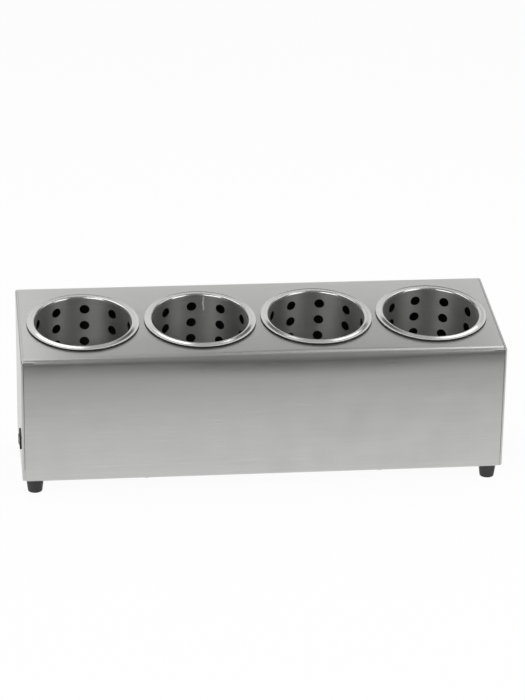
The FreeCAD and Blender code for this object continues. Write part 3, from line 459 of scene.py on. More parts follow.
@dataclass(frozen=True)
class Scratches:
    """How a steel surface is scratched and wiped. The bump's depth is in metres.

    Fine, coarse and clouds are about how many scratches or wiped places there are to a metre.
    """

    colour: tuple[float, float, float]
    streaks: float
    marks: float
    dulling: float
    fine: float
    coarse: float
    clouds: float
    strength: float
    depth: float
    turn: tuple[float, float, float] = (0.0, 0.0, 0.0)
    stretch: tuple[float, float, float] = (1.0, 1.0, 1.0)

    def lay(self, groups: Groups, sheet: NodeSheet, shader: bpy.types.Node) -> tuple:
        """Give a shader the colour and bump of scratched steel.

        The colour is colour * (streaked shade - dulling * marks).

        Args:
            groups: The shared node groups.
            sheet: The material's NodeSheet.
            shader: Its Principled node.

        Returns:
            The sockets of the scratches' shade and of the marks.
        """
        place = sheet.add("ShaderNodeTexCoord").outputs["Object"]
        level = sheet.add("ShaderNodeMapping", vector_type="POINT")
        sheet.feed(level.inputs["Vector"], place)
        level.inputs["Rotation"].default_value = self.turn
        level.inputs["Scale"].default_value = self.stretch
        brushing = sheet.group(groups.brushing, Coordinates=level.outputs[0], Fine=self.fine,
                               Coarse=self.coarse)
        handling = sheet.group(groups.handling, Coordinates=place, Size=self.clouds)
        shade = sheet.ramp(brushing.outputs["Shade"], NOISE, (1.0 - self.streaks, 1.0 + self.streaks))
        marks = sheet.math("MULTIPLY", handling.outputs["Marks"], self.marks)
        tone = sheet.math("SUBTRACT", shade, sheet.math("MULTIPLY", marks, self.dulling))
        sheet.feed(shader.inputs["Base Color"], sheet.vector("SCALE", self.colour, tone))
        sheet.bump(shader, brushing.outputs["Height"], self.strength, self.depth)
        shader.inputs["Metallic"].default_value = 1.0
        return brushing.outputs["Shade"], marks


@dataclass(frozen=True)
class BrushedSteel:
    """Stainless sheet with a directional finish."""

    name: str
    colour: tuple[float, float, float]
    roughness: float
    streaks: float
    grain: Grain = Grain.ALONG_CASE
    anisotropy: float = 0.6
    fine: float = 2600.0
    coarse: float = 420.0
    marks: float = 0.05
    depth: float = 0.00001

    def build(self, groups: Groups) -> bpy.types.Material:
        """Make the material: scratches drive colour, roughness and bump, and the highlight spreads across.

        Args:
            groups: The shared node groups.

        Returns:
            The material.
        """
        material, sheet, shader = new_material(self.name)
        turns = {Grain.ALONG_CASE: (0.0, 0.0, 0.0), Grain.FRONT_TO_BACK: (0.0, 0.0, math.pi / 2)}
        scratches = Scratches(self.colour, self.streaks, self.marks, dulling=0.3, fine=self.fine,
                              coarse=self.coarse, clouds=9.0, strength=0.25, depth=self.depth,
                              turn=turns[self.grain])
        shade, marks = scratches.lay(groups, sheet, shader)
        rough = sheet.ramp(shade, NOISE, (self.roughness * 1.12, self.roughness * 0.88))
        sheet.feed(shader.inputs["Roughness"], sheet.math("ADD", rough, marks))
        shader.inputs["Anisotropic"].default_value = self.anisotropy
        normal = sheet.add("ShaderNodeNewGeometry").outputs["Normal"]
        sheet.feed(shader.inputs["Tangent"], sheet.vector("CROSS_PRODUCT", normal, self.grain.value))
        return material


@dataclass(frozen=True)
class TurnedSteel:
    """Stainless sheet that was rolled and polished round a cylinder's axis."""

    name: str
    colour: tuple[float, float, float]
    roughness: float
    anisotropy: float
    streaks: float
    axis: tuple[float, float, float]
    marks: float = 0.08

    def build(self, groups: Groups) -> bpy.types.Material:
        """Make the material: scratches run round the axis and the highlight spreads along it.

        Args:
            groups: The shared node groups.

        Returns:
            The material.
        """
        material, sheet, shader = new_material(self.name)
        upright = (math.atan2(self.axis[1], self.axis[2]), 0.0, 0.0)
        scratches = Scratches(self.colour, self.streaks, self.marks, dulling=0.4, fine=1800.0, coarse=320.0,
                              clouds=22.0, strength=0.2, depth=0.00001, turn=upright,
                              stretch=(0.06, 0.06, 1.0))
        _, marks = scratches.lay(groups, sheet, shader)
        sheet.feed(shader.inputs["Roughness"], sheet.math("ADD", marks, self.roughness))
        shader.inputs["Anisotropic"].default_value = self.anisotropy
        normal = sheet.add("ShaderNodeNewGeometry").outputs["Normal"]
        around = sheet.vector("CROSS_PRODUCT", normal, self.axis)
        sheet.feed(shader.inputs["Tangent"], sheet.vector("CROSS_PRODUCT", normal, around))
        return material


@dataclass(frozen=True)
class Moulded:
    """Rubber, plastic or ceramic with a moulded or fired surface."""

    name: str
    colour: tuple[float, float, float]
    roughness: float
    pits: float = 2500.0
    depth: float = 0.00004
    variation: float = 0.15
    specular: float = 0.5

    def build(self, groups: Groups) -> bpy.types.Material:
        """Make the material: pits give bump, and a wide variation moves colour and roughness.

        Args:
            groups: The shared node groups.

        Returns:
            The material.
        """
        material, sheet, shader = new_material(self.name)
        place = sheet.add("ShaderNodeTexCoord").outputs["Object"]
        mould = sheet.group(groups.mould, Coordinates=place, Pits=self.pits)
        shade = sheet.ramp(mould.outputs["Shade"], NOISE, (1.0 - self.variation, 1.0 + self.variation))
        sheet.feed(shader.inputs["Base Color"], sheet.vector("SCALE", self.colour, shade))
        rough = sheet.ramp(mould.outputs["Shade"], NOISE, (self.roughness * 1.1, self.roughness * 0.9))
        sheet.feed(shader.inputs["Roughness"], rough)
        sheet.bump(shader, mould.outputs["Height"], 0.5, self.depth)
        shader.inputs["Specular IOR Level"].default_value = self.specular
        return material


# ---------------------------------------------------------------- the folded case
@dataclass
class FoldedCase:
    """Front, sloping top and back in one folded sheet, between two end panels. Sizes in millimetres."""

    width: float = 478.0
    depth: float = 144.0
    low: float = 15.0
    front_top: float = 140.0
    tilt: float = TOP_TILT
    front_fold: float = 6.8
    fold_slack: float = 5.0
    slack_middle: float = 50.0
    slack_span: float = 560.0
    lean: tuple[float, float] = (5.0, 8.0)
    ease: float = 20.0
    ease_parts: int = 12
    bend_parts: int = 13
    front_parts: int = 10
    top_lead: float = 0.5
    rear_fold: float = 2.5
    lower_fold: float = 2.0
    flange: float = 22.0
    sheet: float = 1.0
    end_rim: float = 2.3
    end_flange: float = 10.0
    joggle: float = 0.05
    end_rounding: float = 2.0
    end_corner: float = 2.5
    gap: float = 0.1
    joint: float = 0.4
    cutout: float = 49.25
    parts: int = 16
    band_top: float = 64.0  # of the lower band of the back, which holds the inlet
    inlet: tuple[float, float, float, float] = (-190.0, 33.5, 13.9, 10.2)  # x, z, half width, half height
    switch: tuple[float, float, float, float] = (-48.0, 51.0, 9.6, 6.5)  # y, z, half length, half height

    @property
    def slope(self) -> float:
        """Rise of the top for each millimetre towards the back."""
        return math.tan(math.radians(self.tilt))

    @property
    def back_top(self) -> float:
        """Height of the rear top edge, before its fold is rounded."""
        return self.front_top + self.depth * self.slope

    @property
    def half_wrap(self) -> float:
        """Half the length of the wrap, between the open joints."""
        return self.width / 2 - self.end_rim - self.joint

    @property
    def half_cells(self) -> float:
        """Half the length of the cells round the cut-outs together."""
        return COUNT / 2 * PITCH

    def columns(self) -> np.ndarray:
        """X of the wrap's grid lines, the same on every panel so that they join."""
        cells = np.linspace(-self.half_cells, self.half_cells, COUNT * self.parts + 1)
        return np.concatenate([[-self.half_wrap], cells, [self.half_wrap]])

    def swept(self, path: np.ndarray, columns: np.ndarray) -> np.ndarray:
        """Carry a path in YZ along X: point = (x, y, z).

        Args:
            path: Points in YZ, shape (n, 2).
            columns: X of the grid lines.

        Returns:
            Grid of shape (n, len(columns), 3), in metres.
        """
        grid = np.empty((len(path), len(columns), 3))
        grid[..., 0] = columns[None, :]
        grid[..., 1] = path[:, None, 0]
        grid[..., 2] = path[:, None, 1]
        return grid * MM

    def wrap(self, steel: bpy.types.Material, inside: bpy.types.Material) -> bpy.types.Object:
        """Build the folded sheet with its four cut-outs and the inlet's opening.

        The sections are carried along X, and round each cut-out a rectangle is drawn in to a circle.

        Args:
            steel: Its material.
            inside: Material of its inner face, nearly black: painted shade inside the case.

        Returns:
            The piece.
        """
        half_depth, tilt = self.depth / 2, math.radians(self.tilt)
        back_run = self.rear_fold * math.tan(math.radians(90 + self.tilt) / 2)
        top_end = np.array([half_depth - back_run * math.cos(tilt),
                            self.back_top - back_run * math.sin(tilt)])
        columns = self.columns()
        front = self.front_section(columns)
        mesh = SheetMesh()
        mesh.add(np.stack([np.tile(columns, (len(front), 1)), front[..., 0], front[..., 1]], axis=-1) * MM)
        rear = rounded_path(np.array([top_end, [half_depth, self.back_top], [half_depth, self.low],
                                      [half_depth - self.flange, self.low]]),
                            [self.rear_fold, self.lower_fold], FOLD_PARTS)[1:]
        flat = int(np.argmax(np.linalg.norm(np.diff(rear, axis=0), axis=1)))
        split = np.array([half_depth, self.band_top])
        mesh.add(self.swept(divided(np.concatenate([rear[:flat + 1], split[None]]), LONGEST_RUN), columns))
        lower = rear[flat + 1:]
        mesh.add(self.swept(divided(lower, LONGEST_RUN), columns))
        self.add_top(mesh, front[-1, 0], top_end)
        self.add_inlet_opening(mesh, lower[0], split)
        return mesh.build("case_wrap", [steel, inside], self.sheet * MM, sharp=50.0, behind=1)

    def front_section(self, columns: np.ndarray) -> np.ndarray:
        """Section at every grid line, from the lower flange over the front and its fold onto the top.

        The fold is an arc, point = (y - r cos a, z + r sin a), whose radius r grows towards the middle by
        slack * (0.5 + 0.5 cos(2 pi (x - slack middle) / slack span)) ** 2. Below it the sheet's lean dies
        away as the square of the distance down.

        Args:
            columns: X of the grid lines.

        Returns:
            Points in YZ, shape (n, len(columns), 2).
        """
        front = -self.depth / 2
        middle = 0.5 + 0.5 * np.cos(2 * math.pi * (columns - self.slack_middle) / self.slack_span)
        radius = self.front_fold + self.fold_slack * middle ** 2
        lean = np.radians(self.lean[0] + (self.lean[1] - self.lean[0]) * middle)
        turns = lean * ((np.arange(self.ease_parts)[:, None] + 0.5) / self.ease_parts) ** 2
        eased = np.cumsum(np.stack([np.sin(turns), np.cos(turns)], axis=-1), axis=0)
        eased = eased * self.ease / self.ease_parts
        shares = np.arange(1, self.bend_parts + 1)[:, None] / self.bend_parts
        turns = lean + (math.radians(90 - self.tilt) - lean) * shares
        arc = np.stack([np.cos(lean) - np.cos(turns), np.sin(turns) - np.sin(lean)], axis=-1)
        arc *= radius[None, :, None]
        bend = np.concatenate([np.zeros((1, len(columns), 2)), eased, eased[-1] + arc])
        foot = self.front_top + bend[-1, :, 0] * self.slope - bend[-1, :, 1]
        bend += np.stack([np.full(len(columns), front), foot], axis=-1)
        lower = np.array([[front + self.flange, self.low], [front, self.low], [front, self.front_top / 2]])
        lower = divided(rounded_path(lower, [self.lower_fold], FOLD_PARTS)[:-1], LONGEST_RUN)
        start = np.repeat(lower[:, None], len(columns), axis=1)
        shares = np.arange(1, self.front_parts)[:, None, None] / self.front_parts
        flat = start[-1] + (bend[0] - start[-1]) * shares
        reach = float(bend[-1, :, 0].max()) + self.top_lead
        top = np.array([reach, self.front_top + (reach - front) * self.slope])
        return np.concatenate([start, flat, bend, np.tile(top, (1, len(columns), 1))])

    def add_top(self, mesh: SheetMesh, start: np.ndarray, end: np.ndarray) -> None:
        """Add the sloping top: a cell round each cut-out and a strip at each end.

        Args:
            mesh: The mesh to add to.
            start: Where the flat top starts, in YZ.
            end: Where it ends.
        """
        cos, sin = math.cos(math.radians(self.tilt)), math.sin(math.radians(self.tilt))
        seat = self.front_top + self.depth / 2 * self.slope

        def on_top(points: np.ndarray) -> np.ndarray:
            """Place points given as x and distance up the slope from above the origin."""
            return np.stack([points[..., 0], points[..., 1] * cos, seat + points[..., 1] * sin], axis=-1) * MM

        low, high = start[0] / cos, end[0] / cos
        for x in map(row_x, range(COUNT)):
            loop = rectangle_loop((x - PITCH / 2, low), (x + PITCH / 2, high), self.parts, self.parts)
            hole = round_loop((x, 0.0), self.cutout, loop)
            mesh.add(on_top(between_loops(loop, hole, [0, 0.25, 0.5, 0.75, 1])), closed=True)
        ups = np.linspace(low, high, self.parts + 1)
        for pair in ((-self.half_wrap, -self.half_cells), (self.half_cells, self.half_wrap)):
            mesh.add(on_top(np.stack(np.meshgrid(np.array(pair), ups), axis=-1)))

    def add_inlet_opening(self, mesh: SheetMesh, low: np.ndarray, split: np.ndarray) -> None:
        """Add the lower band of the back, with the inlet's rectangular opening in its first cell.

        Args:
            mesh: The mesh to add to.
            low: Lower end of the flat back, in YZ.
            split: Upper end of the band, in YZ.
        """
        x, z, half_x, half_z = self.inlet
        half_depth = self.depth / 2
        cell = (-self.half_cells, PITCH - self.half_cells)
        loop = rectangle_loop((cell[0], low[1]), (cell[1], split[1]), self.parts, self.parts)
        hole = rectangle_loop((x - half_x, z - half_z), (x + half_x, z + half_z), self.parts, self.parts)
        ring = between_loops(loop, hole, [0, 0.5, 1])
        grid = np.stack([ring[..., 0], np.full(ring.shape[:2], half_depth), ring[..., 1]], axis=-1) * MM
        mesh.add(grid, closed=True, flip=True)
        columns = self.columns()
        heights = np.linspace(split[1], low[1], self.parts + 1)
        band = np.stack([np.full(self.parts + 1, half_depth), heights], axis=1)
        for part in (columns[:2], columns[columns >= cell[1] - 1e-6]):
            mesh.add(self.swept(band, part))

    def outline(self, inset: float, count: int = 10) -> np.ndarray:
        """Side outline of the case, drawn in by inset, with the same number of points at every inset.

        Args:
            inset: Distance inwards in millimetres.
            count: Parts of each corner's arc.

        Returns:
            Closed loop in YZ, counter-clockwise seen from +X.
        """
        half, rise = self.depth / 2, inset / math.cos(math.radians(self.tilt))
        corners = np.array([[-half + inset, self.low + inset], [half - inset, self.low + inset],
                            [half - inset, self.back_top - rise - inset * self.slope],
                            [-half + inset, self.front_top - rise + inset * self.slope]])
        radii = [max(self.lower_fold - inset, 0.2)] * 2 + [max(self.end_corner - inset, 0.2)] * 2
        loop = []
        for i in range(4):
            ends = (corners[i - 1] + corners[i]) / 2, (corners[i] + corners[(i + 1) % 4]) / 2
            arc = rounded_path(np.array([ends[0], corners[i], ends[1]]), [radii[i]], count)
            lead = ends[0] + (arc[1] - ends[0]) * np.linspace(0, 1, 7)[:-1, None]
            tail = arc[-2] + (ends[1] - arc[-2]) * np.linspace(0, 1, 7)[:-1, None]
            loop += [lead, arc[1:-2], tail]
        return np.concatenate(loop)

    def end_panel(self, side: int, steel: bpy.types.Material, inside: bpy.types.Material) -> bpy.types.Object:
        """Build one end panel: flange inside the wrap, rounded rim and flat face.

        Rings of the side outline run from the flange over a quarter circle, where the inset is
        r - r * cos(a) and the distance out is r * sin(a), and then shrink over the face.

        Args:
            side: -1 for the left end, with the switch's opening, and 1 for the right.
            steel: Its material.
            inside: Material of its inner face, nearly black: painted shade inside the case.

        Returns:
            The piece.
        """
        half, r = self.width / 2, self.end_rounding
        nested = self.sheet + self.gap
        angles = np.linspace(0, math.pi / 2, 9)
        rim = half - self.end_rim
        places = [(rim - self.end_flange, nested), (rim - self.joggle, nested), (rim, 0.0)]
        places += [(half - r + r * math.sin(a), r - r * math.cos(a)) for a in angles]
        rings = [np.insert(self.outline(inset), 0, side * x, axis=1) for x, inset in places]
        edge = self.outline(r)
        if side < 0:
            y, z, half_y, half_z = self.switch
            rays = edge - np.array([y, z])
            scale = np.minimum(half_y / np.maximum(np.abs(rays[:, 0]), 1e-9),
                               half_z / np.maximum(np.abs(rays[:, 1]), 1e-9))
            hole = np.array([y, z]) + rays * scale[:, None]
        else:
            hole = np.tile(edge.mean(axis=0), (len(edge), 1))
        face = between_loops(edge, hole, [0.02, 0.3, 0.65, 1.0])
        rings += [np.insert(row, 0, side * half, axis=1) for row in face]
        mesh = SheetMesh()
        mesh.add(np.stack(rings) * MM, closed=True, flip=side < 0)
        name = "left_end_skin" if side < 0 else "right_end_skin"
        return mesh.build(name, [steel, inside], self.sheet * MM, sharp=50.0, behind=1)


# ---------------------------------------------------------------- lift-out cylinders
@dataclass
class LiftOutCylinder:
    """Perforated cylinder with a rolled rim and a drained floor. Sizes in millimetres."""

    index: int
    turn: float
    seam: float
    radius: float = 47.7
    sheet: float = 0.8
    tall: float = 112.0
    rim: float = 55.75
    rise: float = 2.4
    lip_reach: float = 2.7
    flange_rise: float = 1.55
    flange_reach: float = 5.6
    edge_rise: float = 1.9
    seat_gap: float = 0.15
    bends: tuple[float, float, float, float] = (2.3, 1.8, 2.5, 0.3)  # lip, top, flange and edge of the rim
    longest: float = 0.8  # part of the rim's profile between grid lines
    hole: float = 5.0
    per_ring: int = 10
    rows: int = 5
    first: float = 11.5
    step: float = 18.5
    floor_top: float = -108.0
    floor_sheet: float = 1.0
    floor_circle: float = 27.0
    floor_holes: int = 6
    floor_cells: tuple[float, float] = (13.0, 41.0)  # inner and outer radius of the cells round the holes
    weld_half: float = 1.2
    weld_rise: float = 0.24
    weld_sink: float = 0.02
    weld_margins: tuple[float, float] = (4.2, 0.3)  # from the wall's lower edge and from the seat
    dressed_from: float = 14.0
    dressed_to: float = 17.0
    seat: float = 152.6957
    tilt: float = TOP_TILT
    parts: int = 12

    @property
    def body(self) -> str:
        """Name of the body that it rides on."""
        return f"cylinder_{self.index + 1}"

    def on_seat(self, points: np.ndarray) -> np.ndarray:
        """Tilt points about X and move them over their cut-out, in metres."""
        a = math.radians(self.tilt)
        y, z = points[..., 1], points[..., 2]
        return np.stack([points[..., 0] + row_x(self.index), y * math.cos(a) - z * math.sin(a),
                         self.seat + y * math.sin(a) + z * math.cos(a)], axis=-1) * MM

    def rolled(self, flat: np.ndarray) -> np.ndarray:
        """Roll a flat sheet round the cylinder: point = (r cos(u / r), r sin(u / r), v).

        Args:
            flat: Distances u round the wall and heights v, shape (..., 2).

        Returns:
            Points, shape (..., 3).
        """
        angle = flat[..., 0] / self.radius
        return np.stack([self.radius * np.cos(angle), self.radius * np.sin(angle), flat[..., 1]], axis=-1)

    def angles(self) -> np.ndarray:
        """Angles of the grid lines round the wall, which join those of the perforated cells."""
        lines = np.arange(self.per_ring * self.parts) / self.parts - 0.5
        return math.radians(90 + self.turn) + lines * 2 * math.pi / self.per_ring

    def rim_profile(self) -> np.ndarray:
        """Radius and height up the inner face, over the rolled lip, across the rim and down its edge."""
        corners = np.array([[self.radius, -self.first + self.step / 2], [self.radius, self.rise],
                            [self.radius + self.lip_reach, self.rise],
                            [self.radius + self.flange_reach, self.flange_rise],
                            [self.rim, self.edge_rise], [self.rim, self.seat_gap]])
        return divided(rounded_path(corners, list(self.bends), FOLD_PARTS), self.longest)

    def shell(self, satin: bpy.types.Material, polished: bpy.types.Material, outside: bpy.types.Material,
              under: bpy.types.Material) -> bpy.types.Object:
        """Build the wall with its round holes and its rim, in one sheet.

        Each hole's cell is a rectangle of the flat sheet drawn in to a circle, then rolled.

        Args:
            satin: Material of the wall.
            polished: Material of the rim.
            outside: Material of the wall's outer face.
            under: Material of the rim's turned edge and underside, nearly black: a painted shadow of the gap
                under the rim.

        Returns:
            The piece.
        """
        mesh = SheetMesh()
        half_u, half_v = math.pi * self.radius / self.per_ring, self.step / 2
        start = math.radians(90 + self.turn) * self.radius
        loop = rectangle_loop((-half_u, -half_v), (half_u, half_v), self.parts, 6)
        hole = round_loop((0.0, 0.0), self.hole, loop)
        cell = between_loops(loop, hole, [0, 0.45, 0.8, 1])
        for column in range(self.per_ring):
            for row in range(self.rows):
                shift = np.array([start + 2 * half_u * column, -self.first - self.step * row])
                mesh.add(self.on_seat(self.rolled(cell + shift)), closed=True, flip=True)
        lower = -self.first - self.step * (self.rows - 0.5)
        band = np.stack([np.full(3, self.radius), np.linspace(lower, -self.tall, 3)], axis=1)
        mesh.add(self.on_seat(turned(band, self.angles())), closed=True)
        profile = self.rim_profile()
        split = int(np.argmax(profile[:, 1] > self.rise - 0.8 * self.bends[0]))
        mesh.add(self.on_seat(turned(profile[:split + 1], self.angles())), closed=True, flip=True)
        # From here down, the rim's turned edge takes the under material: a painted shadow of the gap under
        # the rim.
        fall = len(profile) - int(np.argmax(profile[::-1, 1] > self.edge_rise - 0.6 * self.bends[-1]))
        mesh.add(self.on_seat(turned(profile[split:fall], self.angles())), closed=True, flip=True, finish=1)
        mesh.add(self.on_seat(turned(profile[fall - 1:], self.angles())), closed=True, flip=True, finish=3)
        return mesh.build(f"{self.body}_shell", [satin, polished, outside, under], self.sheet * MM, behind=2)

    def drained_floor(self, satin: bpy.types.Material) -> bpy.types.Object:
        """Build the floor disc with a hole in its middle and six round it.

        Round each outer hole, a sector of the ring of cells is drawn in to a circle.

        Args:
            satin: Its material.

        Returns:
            The piece.
        """
        mesh = SheetMesh()
        turn = math.radians(90 + self.turn)
        half, (inside, outside) = math.pi / self.floor_holes, self.floor_cells
        loop = rectangle_loop((-half, inside), (half, outside), self.parts, self.parts)
        for k in range(self.floor_holes):
            middle = turn + k * 2 * half
            angle = middle + loop[:, 0]
            outer = np.stack([loop[:, 1] * np.cos(angle), loop[:, 1] * np.sin(angle)], axis=1)
            centre = (self.floor_circle * math.cos(middle), self.floor_circle * math.sin(middle))
            cell = between_loops(outer, round_loop(centre, self.hole, outer), [0, 0.5, 1])
            mesh.add(self.on_seat(np.insert(cell, 2, self.floor_top, axis=-1)), closed=True, flip=True)
        angles = turn + (np.arange(self.floor_holes * self.parts) / self.parts - 0.5) * 2 * half
        for low, high in ((self.hole, inside), (outside, self.radius - 0.1)):
            ring = np.array([[low, self.floor_top], [high, self.floor_top]])
            mesh.add(self.on_seat(turned(ring, angles)), closed=True, flip=True)
        return mesh.build(f"{self.body}_drain_floor", [satin], self.floor_sheet * MM)

    def weld_seam(self, steel: bpy.types.Material) -> bpy.types.Object:
        """Build the bead of the wall's weld: a low uneven half ellipse, dressed flat below its top.

        At the height v the bead reaches half width * (0.8 + 0.2 sin 1.9v) to each side. It wanders by
        0.25 sin 0.55v and steps back by 0.5 below v = -8.5. It narrows and sinks to a fifth where it is
        dressed.

        Args:
            steel: Its material.

        Returns:
            The piece.
        """
        across = np.linspace(0, math.pi, 7)
        heights = np.linspace(-self.tall + self.weld_margins[0], -self.weld_margins[1], 90)[:, None]
        dressed = np.clip((-heights - self.dressed_from) / (self.dressed_to - self.dressed_from), 0, 1)
        wander = 0.25 * np.sin(0.55 * heights) - 0.5 * np.clip((-heights - 8.5) / 2.0, 0, 1)
        left = 1 - 0.8 * dressed
        wide = self.weld_half * (0.8 + 0.2 * np.sin(1.9 * heights)) * left
        angle = math.radians(90 + self.seam) + (wander + wide * np.cos(across)) / self.radius
        inner = self.radius + self.weld_sink - self.weld_rise * left * np.sin(across)
        grid = np.stack([inner * np.cos(angle), inner * np.sin(angle), heights + 0 * angle], axis=-1)
        mesh = SheetMesh()
        mesh.add(self.on_seat(grid), closed=True)
        caps = np.stack([grid[[0, -1]], np.repeat(grid[[0, -1]].mean(axis=1, keepdims=True), 7, axis=1)])
        mesh.add(self.on_seat(caps[:, 0]), closed=True)
        mesh.add(self.on_seat(caps[:, 1]), closed=True)
        return mesh.build(f"{self.body}_weld", [steel], sharp=60.0)


# ---------------------------------------------------------------- feet
@dataclass
class RubberFoot:
    """Tapered rubber foot, turned about its screw. Sizes in millimetres."""

    name: str
    place: tuple[float, float]
    profile: tuple[tuple[float, float], ...] = (
        (2.2, 14.0), (8.75, 14.0), (7.0, 0.0), (4.5, 0.0), (4.5, 7.0), (2.2, 7.0))
    rounding: tuple[float, float, float, float] = (0.7, 1.2, 0.5, 0.3)
    arc_parts: int = 6
    longest: float = 2.5
    sides: int = 64

    def build(self, rubber: bpy.types.Material) -> bpy.types.Object:
        """Turn the rounded section, which closes on itself through the bore.

        Args:
            rubber: Its material.

        Returns:
            The piece.
        """
        section = rounded_path(np.array(self.profile), list(self.rounding), self.arc_parts)
        section = divided(np.concatenate([section, section[:1]]), self.longest)
        grid = turned(section, np.linspace(0, 2 * math.pi, self.sides, endpoint=False))
        grid[..., :2] += np.array(self.place)
        mesh = SheetMesh()
        mesh.add(grid * MM, closed=True)
        return mesh.build(f"{self.name}_rubber", [rubber], sharp=50.0)


# ---------------------------------------------------------------- rocker switch
@dataclass
class RockerMarks:
    """Printed signs for on and off on the rocker's two slopes. Sizes in millimetres."""

    pivot: tuple[float, float, float] = (-238.0, -48.0, 51.0)
    ridge: float = 4.0
    shoulder: float = 1.6
    reach: float = 8.144
    tilt: float = 8.0
    lift: float = 0.03
    bar: tuple[float, float] = (4.35, 4.75)  # its two long sides, from the ridge
    bar_half: float = 1.3
    ring_middle: float = 4.5
    ring: tuple[float, float] = (1.0, 1.35)  # inner and outer radius
    print_depth: float = 0.02

    def on_slope(self, side: int, flat: np.ndarray) -> np.ndarray:
        """Lay flat points on one slope of the rocker, in metres.

        Args:
            side: -1 for the front slope, 1 for the rear.
            flat: Distance from the ridge and height across the rocker, shape (..., 2).

        Returns:
            Points, shape (..., 3).
        """
        slope = math.atan2(self.ridge - self.shoulder, self.reach)
        along, up = flat[..., 0], flat[..., 1]
        out = self.ridge - along * math.sin(slope) + self.lift * math.cos(slope)
        back = side * (along * math.cos(slope) + self.lift * math.sin(slope))
        a = math.radians(self.tilt)
        turned_out = out * math.cos(a) - back * math.sin(a)
        turned_back = out * math.sin(a) + back * math.cos(a)
        x, y, z = self.pivot
        return np.stack([x - turned_out, y + turned_back, z + up], axis=-1) * MM

    def build(self, ink: bpy.types.Material) -> bpy.types.Object:
        """Build the bar on the front slope and the ring on the rear one.

        Args:
            ink: Their material.

        Returns:
            The piece.
        """
        mesh = SheetMesh()
        bar = np.stack(np.meshgrid(np.array(self.bar), np.array([-self.bar_half, self.bar_half])), axis=-1)
        mesh.add(self.on_slope(-1, bar))
        angles = np.linspace(0, 2 * math.pi, 32, endpoint=False)
        radii = np.array(self.ring)[:, None]
        ring = np.stack([self.ring_middle + radii * np.cos(angles), radii * np.sin(angles)], axis=-1)
        mesh.add(self.on_slope(1, ring), closed=True)
        return mesh.build("rocker_signs", [ink], self.print_depth * MM)


